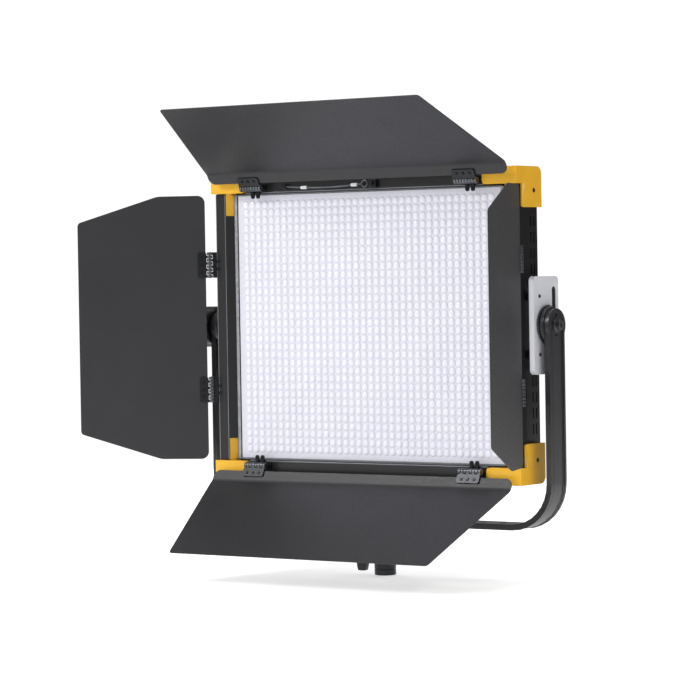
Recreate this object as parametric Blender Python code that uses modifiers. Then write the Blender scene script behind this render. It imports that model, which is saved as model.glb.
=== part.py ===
"""LED panel light with four barn-door leaves, carried in a U-shaped yoke.

The foot of the stand spigot is the origin, the light shines along -Y and +Z is up.
Head parts are placed from the tilt axis, and each leaf from its own hinge axis.
"""
import bmesh
import bpy
from math import atan2, cos, hypot, pi, radians, sin
from mathutils import Matrix, Vector

GAP = 0.0003                     # room kept between neighbouring solids

# ---- driving dimensions (metres) -------------------------------------------------------------
PIVOT_Z = 0.320                  # tilt axis above the foot of the spigot

LENS_PITCH = 0.0103
LENS_COLUMNS = 38
LENS_ROWS = 32
PANEL_X = LENS_PITCH * LENS_COLUMNS / 2 + 0.0082      # half width of the lens panel
PANEL_Z = LENS_PITCH * LENS_ROWS / 2 + 0.0067         # half height
LENS_Y = -0.0315                 # front face of the lens panel, from the tilt axis
LENS_THICK = 0.0025

HOUSING_X = 0.229                # half width of the housing
HOUSING_Z = 0.188
HOUSING_FRONT = -0.026
HOUSING_BACK = 0.011
SHEET = 0.002                    # housing sheet thickness
SLOT_COLUMNS = (-0.0030, 0.0044)  # vent slots along the sides
SLOT_SIZE = (0.0023, 0.0133)
SLOT_PITCH = 0.0198
SLOT_COUNT = 14

GUARD_X = 0.237                  # outer faces of the corner guards
GUARD_Z = 0.1964
GUARD_FRONT = -0.0465
GUARD_BACK = 0.0105
GUARD_BAR_TIP = 0.186
GUARD_BAR_LOW = 0.1750
GUARD_BAR_TOP = 0.1880
GUARD_ARM_END = 0.146            # where the upright arms stop
GUARD_WALL = 0.0076
GUARD_FLAP_FRONT = -0.0345
GUARD_SCREW = (-0.0075, 0.1675)  # counterbore in each cheek, as (y, z)

RAIL_X = 0.234                   # outer faces of the barn-door rails
RAIL_Z = 0.190
RAIL_WIDE = 0.016
RAIL_FRONT = -0.0405
RAIL_BACK = -0.0265
RAIL_WALL = 0.0016

BOX_X = 0.125                    # driver box on the back
BOX_Z = 0.105
BOX_FRONT = 0.0136
BOX_BACK = 0.076
PANEL_CENTRE = 0.036             # middle of the control panel, across
DISPLAY = (0.036, 0.062)         # places on the control panel, as (x, z)
KNOBS = {"dimmer_knob": (-0.006, 0.008), "colour_knob": (0.078, 0.008)}
BUTTONS = ((0.020, 0.008), (0.036, 0.008), (0.052, 0.008))
SOCKETS = {"data_in_socket": (0.012, -0.030), "data_out_socket": (0.060, -0.030)}
SOCKET_R = 0.0105
INLET = (0.014, -0.068)
SWITCH = (0.066, -0.068)
FAN_X, FAN_Z = -0.078, 0.0       # fan centre

SIDE_AXIS_X = 0.241              # hinge axes of the side leaves
SIDE_AXIS_Y = -0.0467
CROSS_AXIS_Z = 0.180             # hinge axes of the top and bottom leaves
CROSS_AXIS_Y = -0.0523
SIDE_HINGE_AT = 0.082            # hinge centres along the side axes
CROSS_HINGE_AT = 0.1665

LEAF_THICK = 0.0012
LEAF_LENGTH = 0.180
LEAF_SHOULDER = 0.070            # the side leaves narrow beyond here
SIDE_ROOT = 0.1735               # half lengths of the side leaves
SIDE_TIP = 0.1400
CROSS_ROOT = 0.232               # half lengths of the top and bottom leaves
CROSS_TIP = 0.197
CROSS_FOLD = 0.023               # fold line, from the hinge axis
FOLD_ANGLE = 35.0
LEFT_OPEN = 156.0                # how far each leaf stands open, from shut
RIGHT_OPEN = 110.0
TOP_OPEN = 119.2
BOTTOM_OPEN = 121.0

BARREL_R = 0.0038
KNUCKLE = 0.0082
KNUCKLES = 4
PIN_R = 0.0015
HINGE_PLATE = (0.0044, 0.0160, 0.0015)       # near edge, far edge, thickness

PLATE_IN = 0.2415                # yoke plates: inner and outer faces
PLATE_OUT = 0.2485
PLATE_FRONT = {"left": -0.0220, "right": -0.0300}
PLATE_BACK = 0.0280
PLATE_TALL = 0.121
PLATE_SLOT = (0.0085, 0.096)     # the slot behind the pivot: width, length
PLATE_SLOT_Y = 0.017
PLATE_POSTS = ((-0.0165, 0.036), (0.0165, 0.0543))  # one pair of posts in front, one behind, as (y, z)
POST_R = 0.0048
DISC_OUT = 0.2510
DISC_R = 0.0252
DISC_TEETH = 40

YOKE_IN = 0.2555
YOKE_OUT = 0.2630
YOKE_WIDE = 0.036
YOKE_CHANNEL = 0.0275            # width of the shallow channel down its outer face
CHANNEL_DEEP = 0.0010
EYE_RECESS = 0.0009              # depth of the round seat for the pivot bolt
EYE_RIM = 0.0042
YOKE_FOOT = -0.2545              # underside of the bottom bar, from the tilt axis
YOKE_BEND = 0.059                # outer bend radius
YOKE_EYE = 0.0205                # radius of the round arm ends
BOSS_R = 0.0225
BOLT_R = 0.005
BOLT_HOLE_R = 0.0054

SPIGOT_R = 0.014
SPIGOT_BORE_R = 0.0082
TEE_Z = 0.027

KNOB_R = 0.027
KNOB_DEEP = 0.020

COLORS = {
    "black_paint": ("#2b2c2e", 0.55, 0.0),
    "black_steel": ("#3a3b3d", 0.45, 0.6),
    "yellow_plastic": ("#f2c64a", 0.42, 0.0),
    "white_lens": ("#f4f6fa", 0.18, 0.0),
    "board_white": ("#e9ebe6", 0.5, 0.0),
    "bare_aluminium": ("#b9bcc0", 0.38, 1.0),
    "grey_aluminium": ("#c9cbce", 0.42, 0.7),
    "black_plastic": ("#1c1d1f", 0.5, 0.0),
    "bright_steel": ("#a7a9ac", 0.3, 1.0),
    "display_glass": ("#10161c", 0.08, 0.0),
    "board_green": ("#27573d", 0.5, 0.0),
}


# ---- scene helpers -----------------------------------------------------------------------------
def new_collection(name):
    collection = bpy.data.collections.new(name)
    bpy.context.scene.collection.children.link(collection)
    return collection


def clear_scene():
    for obj in list(bpy.data.objects):
        bpy.data.objects.remove(obj, do_unlink=True)


clear_scene()
LIGHT = new_collection("led_panel_light")
CUTTERS = new_collection("cutters")


def linear(channel):
    value = channel / 255
    return value / 12.92 if value <= 0.04045 else ((value + 0.055) / 1.055) ** 2.4


def make_material(name):
    code, roughness, metallic = COLORS[name]
    material = bpy.data.materials.new(name)
    material.use_nodes = True
    shader = material.node_tree.nodes["Principled BSDF"]
    rgb = [linear(int(code[i:i + 2], 16)) for i in (1, 3, 5)]
    shader.inputs["Base Color"].default_value = (*rgb, 1)
    shader.inputs["Roughness"].default_value = roughness
    shader.inputs["Metallic"].default_value = metallic
    material.diffuse_color = (*rgb, 1)
    return material


MATERIALS = {name: make_material(name) for name in COLORS}


def link_mesh(name, bm, material=None, parent=None, collection=None):
    mesh = bpy.data.meshes.new(name)
    bm.to_mesh(mesh)
    bm.free()
    obj = bpy.data.objects.new(name, mesh)
    (collection or LIGHT).objects.link(obj)
    if material:
        mesh.materials.append(MATERIALS[material])
    obj.parent = parent
    return obj


def empty(name, location=(0, 0, 0), parent=None, turn=None):
    obj = bpy.data.objects.new(name, None)
    obj.empty_display_size = 0.02
    LIGHT.objects.link(obj)
    obj.parent = parent
    obj.location = location
    if turn is not None:
        obj.rotation_euler = turn.to_euler()
    return obj


# ---- shape helpers: each one adds a closed shape to a bmesh ---------------------------------------
def box(bm, low, high):
    low, high = Vector(low), Vector(high)
    place = Matrix.Translation((low + high) / 2) @ Matrix.Diagonal((*(high - low), 1))
    return bmesh.ops.create_cube(bm, size=1, matrix=place)["verts"]


AXIS_TURN = {"X": Matrix.Rotation(pi / 2, 4, "Y"), "Y": Matrix.Rotation(-pi / 2, 4, "X"), "Z": Matrix()}


def rod(bm, axis, centre, radius, length, sides=24, radius_end=None):
    """A cylinder, or a cone frustum when radius_end is given, along a main axis."""
    place = Matrix.Translation(centre) @ AXIS_TURN[axis]
    end = radius if radius_end is None else radius_end
    made = bmesh.ops.create_cone(bm, cap_ends=True, segments=sides, radius1=radius, radius2=end,
                                 depth=length, matrix=place)
    return made["verts"]


def shape(builder, *args, **settings):
    """A new bmesh with one shape in it."""
    bm = bmesh.new()
    builder(bm, *args, **settings)
    return bm


def plate_from_outline(name, points, thickness, turn, centre=(0, 0, 0)):
    """A flat outline given as (x, y) points, as thick as stated, turned and moved into place."""
    curve = bpy.data.curves.new(name, "CURVE")
    curve.dimensions = "2D"
    curve.fill_mode = "BOTH"
    curve.extrude = thickness / 2
    spline = curve.splines.new("POLY")
    spline.points.add(len(points) - 1)
    for point, (x, y) in zip(spline.points, points):
        point.co = (x, y, 0, 1)
    spline.use_cyclic_u = True
    drawn = bpy.data.objects.new(name, curve)
    CUTTERS.objects.link(drawn)
    bpy.context.view_layer.update()
    mesh = bpy.data.meshes.new_from_object(drawn.evaluated_get(bpy.context.evaluated_depsgraph_get()))
    bpy.data.objects.remove(drawn)
    bpy.data.curves.remove(curve)
    bm = bmesh.new()
    bm.from_mesh(mesh)
    bpy.data.meshes.remove(mesh)
    bmesh.ops.remove_doubles(bm, verts=bm.verts, dist=1e-6)
    bmesh.ops.recalc_face_normals(bm, faces=bm.faces)
    bmesh.ops.transform(bm, matrix=Matrix.Translation(centre) @ turn, verts=bm.verts)
    return bm


# outline planes: (x, y) of the outline become world (x, z), (y, z) or (x, y)
IN_XZ = Matrix.Rotation(pi / 2, 4, "X")
IN_YZ = Matrix(((0, 0, 1, 0), (1, 0, 0, 0), (0, 1, 0, 0), (0, 0, 0, 1)))
IN_XY = Matrix()


def rounded(corners, radii, steps=4):
    """A polygon whose corners are rounded with arcs of the given radii (one, or one each)."""
    if not hasattr(radii, "__len__"):
        radii = [radii] * len(corners)
    points = []
    for i, corner in enumerate(corners):
        here = Vector(corner)
        before = (Vector(corners[i - 1]) - here).normalized()
        after = (Vector(corners[(i + 1) % len(corners)]) - here).normalized()
        if radii[i] <= 0:
            points.append(tuple(here))
            continue
        half = before.angle(after) / 2
        centre = here + (before + after).normalized() * radii[i] / sin(half)
        reach = radii[i] * cos(half) / sin(half)
        first, last = here + before * reach - centre, here + after * reach - centre
        start = atan2(first.y, first.x)
        sweep = (atan2(last.y, last.x) - start + pi) % (2 * pi) - pi
        for k in range(steps + 1):
            angle = start + sweep * k / steps
            points.append((centre.x + radii[i] * cos(angle), centre.y + radii[i] * sin(angle)))
    return points


def rectangle(width, height, radius=0.0, steps=4):
    x, y = width / 2, height / 2
    return rounded([(-x, -y), (x, -y), (x, y), (-x, y)], radius, steps)


def boolean(obj, bm, operation="DIFFERENCE", label="cut"):
    """Cuts a shape from an object or joins it on; the shape stays in the cutters' collection."""
    tool = link_mesh(f"{obj.name}_{label}_{len(obj.modifiers)}", bm, parent=obj.parent, collection=CUTTERS)
    tool.hide_render = True
    tool.display_type = "WIRE"
    modifier = obj.modifiers.new(f"{label}_{len(obj.modifiers)}", "BOOLEAN")
    modifier.operation = operation
    modifier.solver = "EXACT"
    modifier.object = tool
    return obj


def join(obj, bm):
    return boolean(obj, bm, "UNION", "add")


def bevel(obj, width, segments=2, angle=40):
    modifier = obj.modifiers.new("edges", "BEVEL")
    modifier.width = width
    modifier.segments = segments
    modifier.limit_method = "ANGLE"
    modifier.angle_limit = radians(angle)
    return obj


# ---- yoke and stand side -----------------------------------------------------------------------
def u_outline(inside, outside, foot, bend, top, steps=8):
    """The U of the yoke: outer and inner lines from the top of one arm to the other."""
    thick = outside - inside
    points = []
    for reach, low, radius in ((outside, foot, bend), (inside, foot + thick, bend - thick)):
        line = [(-reach, top)]
        for side in (-1, 1):
            for k in range(steps + 1):
                turn = pi / 2 * (k if side < 0 else steps - k) / steps
                line.append((side * (reach - radius * (1 - cos(turn))), low + radius * (1 - sin(turn))))
        line.append((reach, top))
        points.append(line)
    return points[0] + points[1][::-1]


def make_yoke(tilt):
    outline = u_outline(YOKE_IN, YOKE_OUT, YOKE_FOOT, YOKE_BEND, 0)
    yoke = link_mesh("yoke", plate_from_outline("yoke", outline, YOKE_WIDE, IN_XZ), "black_paint", tilt)
    channel = u_outline(YOKE_OUT - CHANNEL_DEEP, YOKE_OUT + 0.002, YOKE_FOOT - 0.002, YOKE_BEND + 0.002, -0.006)
    middle = (YOKE_IN + YOKE_OUT) / 2
    for side in (-1, 1):
        eye = shape(rod, "X", (side * middle, 0, 0), YOKE_EYE, YOKE_OUT - YOKE_IN, 28)
        join(yoke, eye)
        boss_in, boss_out = DISC_OUT + GAP, YOKE_IN + 0.001
        boss = shape(rod, "X", (side * (boss_in + boss_out) / 2, 0, 0), BOSS_R, boss_out - boss_in, 28)
        join(yoke, boss)
    boolean(yoke, plate_from_outline("channel", channel, YOKE_CHANNEL, IN_XZ))
    seat = shape(rod, "X", (YOKE_OUT - EYE_RECESS + 0.002, 0, 0), YOKE_EYE - EYE_RIM, 0.004, 28)
    boolean(yoke, seat)
    holes = bmesh.new()
    for side in (-1, 1):
        rod(holes, "X", (side * YOKE_IN, 0, 0), BOLT_HOLE_R, 0.05, 16)
        for z in (-0.0125, 0.0125):
            rod(holes, "X", (side * YOKE_OUT, 0, z), 0.0018, 0.006, 8)
        for x in (0.060, 0.105, 0.150, 0.180):
            rod(holes, "Z", (side * x, 0, YOKE_FOOT), 0.0045, 0.03, 10)
    rod(holes, "Z", (0, 0, YOKE_FOOT), 0.0054, 0.03, 16)
    boolean(yoke, holes)
    return yoke


def make_spigot():
    """The pin under the yoke, with its flange, its bolt up through the yoke and the bored foot."""
    top = PIVOT_Z + YOKE_FOOT - GAP
    spigot = shape(rod, "Z", (0, 0, top / 2), SPIGOT_R, top, 28)
    spigot = link_mesh("stand_spigot", spigot, "bright_steel")
    join(spigot, shape(rod, "Z", (0, 0, top - 0.004), 0.0175, 0.008, 28))
    bar = YOKE_OUT - YOKE_IN
    join(spigot, shape(rod, "Z", (0, 0, top + bar / 2), BOLT_R, bar + 0.012, 16))
    join(spigot, shape(rod, "Z", (0, 0, top + bar + GAP * 2 + 0.0035), 0.009, 0.007, 6))
    cuts = shape(rod, "Z", (0, 0, 0.016), SPIGOT_BORE_R, 0.040, 24)
    rod(cuts, "X", (-SPIGOT_R, 0, TEE_Z), 0.0043, 0.02, 16)
    return boolean(spigot, cuts)


def make_tee_handle():
    axis = empty("tee_axis", (-SPIGOT_R, 0, TEE_Z))
    screw = shape(rod, "X", (-0.0105, 0, 0), 0.004, 0.026, 16)
    handle = link_mesh("tee_handle", screw, "black_plastic", axis)
    join(handle, shape(rod, "X", (-0.012, 0, 0), 0.0075, 0.016, 20))
    side = [(-0.0290, -0.012), (-0.0290, 0.012), (-0.0265, 0.023), (-0.0160, 0.023), (-0.0130, 0.012),
            (-0.0130, -0.012), (-0.0160, -0.023), (-0.0265, -0.023)]
    join(handle, plate_from_outline("grip", rounded(side, 0.0015, 1), 0.009, IN_XZ))
    return handle


def make_pivot_bolt(tilt):
    """The right-hand pivot: shank, washer and socket-head, all one screw."""
    shank_end = PLATE_IN + 0.002
    bolt = link_mesh("pivot_bolt", shape(rod, "X", ((shank_end + YOKE_OUT) / 2, 0, 0), BOLT_R,
                                         YOKE_OUT - shank_end + 0.002, 20), "bright_steel", tilt)
    seat = YOKE_OUT - EYE_RECESS + GAP
    join(bolt, shape(rod, "X", (seat + 0.0010, 0, 0), 0.0092, 0.0020, 28))
    join(bolt, shape(rod, "X", (seat + 0.0045, 0, 0), 0.0062, 0.0055, 24))
    boolean(bolt, shape(rod, "X", (seat + 0.0075, 0, 0), 0.0026, 0.007, 6))
    return bolt


def lobed(radius, depth, lobes, steps):
    """A round outline with shallow scallops."""
    points = []
    for k in range(lobes * steps):
        angle = 2 * pi * k / (lobes * steps)
        reach = radius - depth * (0.5 - 0.5 * cos(lobes * angle)) ** 2
        points.append((reach * cos(angle), reach * sin(angle)))
    return points


def make_tilt_knob(tilt):
    axis = empty("tilt_knob_axis", (-YOKE_OUT, 0, 0), tilt)
    outline = lobed(KNOB_R, 0.0022, 8, 4)
    centre = -0.0012 - KNOB_DEEP / 2
    knob = plate_from_outline("knob", outline, KNOB_DEEP, IN_YZ, (centre, 0, 0))
    knob = link_mesh("tilt_knob", knob, "black_plastic", axis)
    bevel(knob, 0.0016, 1)
    join(knob, shape(rod, "X", (-GAP - 0.002, 0, 0), 0.012, 0.004, 24))
    length = YOKE_OUT - PLATE_IN - 0.002
    join(knob, shape(rod, "X", (length / 2 - 0.003, 0, 0), BOLT_R, length + 0.006, 20))
    boolean(knob, shape(rod, "X", (-0.0012 - KNOB_DEEP, 0, 0), 0.014, 0.003, 28))
    return knob


# ---- head: housing and what it holds -----------------------------------------------------------
def make_housing(tilt):
    low, high = (-HOUSING_X, HOUSING_FRONT, -HOUSING_Z), (HOUSING_X, HOUSING_BACK, HOUSING_Z)
    housing = link_mesh("housing_frame", shape(box, low, high), "black_paint", tilt)
    inner = Vector((SHEET, -0.01, SHEET))
    boolean(housing, shape(box, Vector(low) + inner, Vector(high) - inner))
    slots = bmesh.new()
    wide, tall = SLOT_SIZE
    for side in (-1, 1):
        for y in SLOT_COLUMNS:
            for k in range(SLOT_COUNT):
                z = (k - (SLOT_COUNT - 1) / 2) * SLOT_PITCH
                middle = Vector((side * (HOUSING_X - SHEET / 2), y, z))
                half = Vector((SHEET, wide / 2, tall / 2))
                box(slots, middle - half, middle + half)
    return boolean(housing, slots)


def make_bezel(tilt):
    """The black frame that slopes from the rails down to the lens panel."""
    x, z = RAIL_X - RAIL_WIDE - 2 * GAP, RAIL_Z - RAIL_WIDE - 2 * GAP
    front, back, lip = RAIL_FRONT + 0.0003, RAIL_BACK + 0.0002, LENS_Y - 0.001
    bezel = link_mesh("front_bezel", shape(box, (-x, front, -z), (x, back, z)), "black_plastic", tilt)
    slope = shape(box, (-x + GAP, front - 0.0005, -z + GAP), (x - GAP, lip, z - GAP))
    for vert in slope.verts:
        if vert.co.y > front:
            vert.co.x *= 0.210 / x
            vert.co.z *= 0.1726 / z
    boolean(bezel, slope)
    through = Vector((PANEL_X + GAP, 0.05, PANEL_Z + GAP))
    boolean(bezel, shape(box, -through, through))
    corners = bmesh.new()
    for sx in (-1, 1):
        for sz in (-1, 1):
            ends = Vector((sx * 0.2097, -0.06, sz * (GUARD_ARM_END - GAP))), Vector((sx * 0.225, 0, sz * 0.18))
            low = Vector([min(pair) for pair in zip(*ends)])
            high = Vector([max(pair) for pair in zip(*ends)])
            box(corners, low, high)
    return boolean(bezel, corners)


def make_guard(name, sx, sz, tilt):
    """A corner guard: front bar with its flared end, side cheek, cover strip and bezel arm."""
    def mirrored(bm):
        bmesh.ops.scale(bm, vec=(sx, 1, sz), verts=bm.verts)
        if sx * sz < 0:
            bmesh.ops.reverse_faces(bm, faces=bm.faces)
        return bm

    bar = rounded([(GUARD_BAR_TIP, GUARD_BAR_LOW), (GUARD_X, GUARD_BAR_LOW), (GUARD_X, GUARD_Z),
                   (0.223, GUARD_Z), (0.2116, GUARD_BAR_TOP), (GUARD_BAR_TIP, GUARD_BAR_TOP)],
                  (0.004, 0, 0, 0.004, 0.004, 0.0015), 3)
    deep = 0.009
    bar = plate_from_outline(name, bar, deep, IN_XZ, (0, GUARD_FRONT + deep / 2, 0))
    guard = link_mesh(name, mirrored(bar), "yellow_plastic", tilt)
    behind = GUARD_FRONT + deep - 0.001
    cheek = rounded([(RAIL_BACK + 0.0005, GUARD_ARM_END), (GUARD_BACK, GUARD_ARM_END), (GUARD_BACK, GUARD_Z),
                     (behind, GUARD_Z), (behind, GUARD_BAR_LOW), (RAIL_BACK + 0.0005, GUARD_BAR_LOW)],
                    (0, 0.001, 0.009, 0, 0, 0), 4)
    at = (GUARD_X - GUARD_WALL / 2, 0, 0)
    join(guard, mirrored(plate_from_outline("cheek", cheek, GUARD_WALL, IN_YZ, at)))
    flap_back, flap_top = GUARD_BACK - 0.004, GUARD_BAR_LOW + 0.002
    flap = rounded([(GUARD_FLAP_FRONT, GUARD_ARM_END), (flap_back, GUARD_ARM_END),
                    (flap_back, flap_top), (GUARD_FLAP_FRONT, flap_top)], (0.003, 0, 0, 0), 3)
    wall = GUARD_X - RAIL_X - 2 * GAP
    join(guard, mirrored(plate_from_outline("flap", flap, wall, IN_YZ, (GUARD_X - wall / 2 - 1e-5, 0, 0))))
    cover = (0.2095, behind, HOUSING_Z + 2 * GAP), (GUARD_X - 0.0005, GUARD_BACK - 0.009, GUARD_Z - 1e-5)
    join(guard, mirrored(shape(box, *cover)))
    x = RAIL_X - RAIL_WIDE - 2 * GAP
    arm = [(x, RAIL_FRONT + 0.0004), (x, RAIL_BACK - 0.0002),
           (0.2103, RAIL_BACK - 0.0002), (0.2103, LENS_Y - 0.001)]
    reach = GUARD_BAR_LOW + 0.0005 - GUARD_ARM_END
    level = (0, 0, GUARD_ARM_END + reach / 2)
    join(guard, mirrored(plate_from_outline("arm", arm, reach, IN_XY, level)))
    tie = (0.2103, behind - 0.001, GUARD_BAR_LOW), (GUARD_X - 0.001, RAIL_BACK, HOUSING_Z + 0.001)
    join(guard, mirrored(shape(box, *tie)))
    screw = shape(rod, "X", (GUARD_X, *GUARD_SCREW), 0.0026, 0.005, 12)
    return boolean(guard, mirrored(screw))


def make_lens_panel(tilt):
    half = Vector((PANEL_X, LENS_THICK / 2, PANEL_Z))
    middle = Vector((0, LENS_Y + LENS_THICK / 2, 0))
    return link_mesh("lens_panel", shape(box, middle - half, middle + half), "white_lens", tilt)


def make_led_board(tilt):
    low, high = (-0.200, -0.0258, -0.1685), (0.200, -0.0242, 0.1685)
    board = link_mesh("led_board", shape(box, low, high), "board_white", tilt)
    join(board, shape(box, (0.170, -0.0245, -0.012), (0.190, -0.0200, 0.012)))
    return board


def make_heat_sink(tilt):
    """A comb outline pulled up the height of the board."""
    base, root, tip = -0.0239, -0.0205, 0.0085
    half, fins, thick = 0.160, 16, 0.0020
    points = [(half, base)]
    pitch = (2 * half - thick) / (fins - 1)
    for k in range(fins):
        right = half - k * pitch
        points += [(right, tip), (right - thick, tip)]
        if k < fins - 1:
            points += [(right - thick, root), (right - pitch, root)]
    points.append((-half, base))
    return link_mesh("heat_sink", plate_from_outline("sink", points, 2 * half, IN_XY), "bare_aluminium", tilt)


def make_rear_cover(tilt):
    x, z, front = HOUSING_X - 0.0005, HOUSING_Z - 0.0005, HOUSING_BACK + GAP
    cover = link_mesh("rear_cover", shape(box, (-x, front, -z), (x, front + SHEET, z)), "black_paint", tilt)
    slots = bmesh.new()
    for side in (-1, 1):
        for k in range(9):
            z = (k - 4) * 0.034
            box(slots, (side * 0.178 - 0.026, 0, z - 0.003), (side * 0.178 + 0.026, 0.03, z + 0.003))
    box(slots, (-0.095, 0, -0.080), (0.095, 0.03, 0.080))
    return boolean(cover, slots)


def make_driver_box(tilt):
    """The pressed cover over the electronics, open towards the rear cover."""
    low, high = Vector((-BOX_X, BOX_FRONT, -BOX_Z)), Vector((BOX_X, BOX_BACK, BOX_Z))
    cover = link_mesh("driver_box", shape(box, low, high), "black_paint", tilt)
    for vert in cover.data.vertices:
        if vert.co.y > BOX_FRONT + 0.01:
            vert.co.x *= 1 - 0.006 / BOX_X
            vert.co.z *= 1 - 0.006 / BOX_Z
    bevel(cover, 0.004, 2)
    boolean(cover, shape(box, (-0.1168, 0, -0.0968), (0.1168, BOX_BACK - SHEET, 0.0968)))
    cuts = bmesh.new()
    box(cuts, (PANEL_CENTRE - 0.071, 0.07, -0.088), (PANEL_CENTRE + 0.071, 0.09, 0.088))
    for k in range(5):
        offset = (k - 2) * 0.010
        half = 0.024 if abs(k - 2) < 2 else 0.016
        box(cuts, (FAN_X - half, 0.07, FAN_Z + offset - 0.003), (FAN_X + half, 0.09, FAN_Z + offset + 0.003))
    for side in (-1, 1):
        for k in range(6):
            y = 0.030 + k * 0.007
            box(cuts, (side * 0.121 - 0.006, y - 0.0015, -0.060), (side * 0.121 + 0.006, y + 0.0015, 0.060))
    return boolean(cover, cuts)


def make_control_panel(tilt):
    """The plate that carries the controls and sockets, with its openings."""
    outline = rectangle(0.152, 0.190, 0.004, 3)
    back = BOX_BACK + GAP
    plate = plate_from_outline("panel", outline, SHEET, IN_XZ, (PANEL_CENTRE, back + SHEET / 2, 0))
    panel = link_mesh("control_panel", plate, "black_plastic", tilt)
    cuts = bmesh.new()
    box(cuts, (DISPLAY[0] - 0.0353, 0, DISPLAY[1] - 0.0183), (DISPLAY[0] + 0.0353, 0.1, DISPLAY[1] + 0.0183))
    for x, z in KNOBS.values():
        rod(cuts, "Y", (x, back, z), 0.0036, 0.02, 14)
    for x, z in BUTTONS:
        box(cuts, (x - 0.0054, 0, z - 0.0034), (x + 0.0054, 0.1, z + 0.0034))
    for x, z in SOCKETS.values():
        rod(cuts, "Y", (x, back, z), SOCKET_R + GAP, 0.02, 24)
    box(cuts, (INLET[0] - 0.0143, 0, INLET[1] - 0.0118), (INLET[0] + 0.0143, 0.1, INLET[1] + 0.0118))
    box(cuts, (SWITCH[0] - 0.0068, 0, SWITCH[1] - 0.0098), (SWITCH[0] + 0.0068, 0.1, SWITCH[1] + 0.0098))
    return boolean(panel, cuts)


def make_display(tilt):
    x, z = DISPLAY
    back = BOX_BACK + GAP
    glass = shape(box, (x - 0.035, back + 0.0004, z - 0.018), (x + 0.035, back + SHEET, z + 0.018))
    return link_mesh("display_window", glass, "display_glass", tilt)


def make_rotary_knob(name, x, z, tilt):
    axis = empty(f"{name}_axis", (x, BOX_BACK + GAP + SHEET, z), tilt)
    cap = shape(rod, "Y", (0, GAP + 0.0065, 0), 0.0115, 0.013, 28, 0.0105)
    knob = link_mesh(name, cap, "black_plastic", axis)
    bevel(knob, 0.0006, 1, 50)
    join(knob, shape(rod, "Y", (0, -0.004, 0), 0.0030, 0.012, 14))
    return boolean(knob, shape(box, (-0.0006, 0.011, 0.004), (0.0006, 0.016, 0.0125)))


def make_button(name, x, z, tilt):
    place = empty(f"{name}_axis", (x, BOX_BACK + GAP, z), tilt)
    key = link_mesh(name, shape(box, (-0.005, -0.003, -0.003), (0.005, 0.0042, 0.003)), "grey_aluminium", place)
    return bevel(key, 0.0005, 1)


def make_socket(name, x, z, tilt):
    """A round chassis socket with its square flange on the panel."""
    back = BOX_BACK + GAP + SHEET + GAP
    flange = plate_from_outline(name, rectangle(0.026, 0.031, 0.003, 2), 0.0016, IN_XZ, (x, back + 0.0008, z))
    socket = link_mesh(name, flange, "black_plastic", tilt)
    join(socket, shape(rod, "Y", (x, back - 0.009, z), SOCKET_R, 0.020, 24))
    return boolean(socket, shape(rod, "Y", (x, back - 0.004, z), SOCKET_R - 0.0022, 0.016, 24))


def make_inlet(tilt):
    """The mains inlet: a shrouded recess with three flat contacts."""
    x, z = INLET
    back = BOX_BACK + GAP + SHEET + GAP
    low, high = (x - 0.0170, back, z - 0.0145), (x + 0.0170, back + 0.002, z + 0.0145)
    inlet = link_mesh("mains_inlet", shape(box, low, high), "black_plastic", tilt)
    join(inlet, shape(box, (x - 0.014, back - 0.022, z - 0.0115), (x + 0.014, back + 0.001, z + 0.0115)))
    recess = rounded([(-0.0120, -0.0085), (0.0120, -0.0085), (0.0120, 0.0030), (0.0060, 0.0085),
                      (-0.0060, 0.0085), (-0.0120, 0.0030)], 0.001, 2)
    boolean(inlet, plate_from_outline("recess", recess, 0.017, IN_XZ, (x, back - 0.0045, z)))
    for offset, rise in ((-0.007, -0.0015), (0, 0.0025), (0.007, -0.0015)):
        low = (x + offset - 0.0010, back - 0.0140, z + rise - 0.0020)
        join(inlet, shape(box, low, (x + offset + 0.0010, back - 0.0030, z + rise + 0.0020)))
    return inlet


def make_switch(tilt):
    """The rocker, bent at its middle, turning on its own short axis."""
    x, z = SWITCH
    axis = empty("switch_axis", (x, BOX_BACK - 0.001, z), tilt)
    side = [(-0.0035, -0.0085), (0.0040, -0.0088), (0.0030, 0.0), (0.0052, 0.0086), (-0.0035, 0.0085)]
    return link_mesh("power_switch", plate_from_outline("rocker", side, 0.0125, IN_YZ), "black_plastic", axis)


def make_driver_board(tilt):
    sheet = shape(box, (-0.040, 0.0300, -0.090), (0.110, 0.0316, 0.090))
    board = link_mesh("driver_board", sheet, "board_green", tilt)
    tall = [(0.070, 0.050, 0.018, 0.015, 0.020), (0.020, 0.055, 0.014, 0.012, 0.016),
            (0.075, -0.005, 0.012, 0.022, 0.014), (-0.012, 0.010, 0.010, 0.030, 0.012)]
    for x, z, half_x, half_z, high in tall:
        join(board, shape(box, (x - half_x, 0.031, z - half_z), (x + half_x, 0.0316 + high, z + half_z)))
    for k in range(3):
        join(board, shape(rod, "Y", (0.000 + k * 0.018, 0.0396, -0.062), 0.0070, 0.018, 14))
    return board


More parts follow.
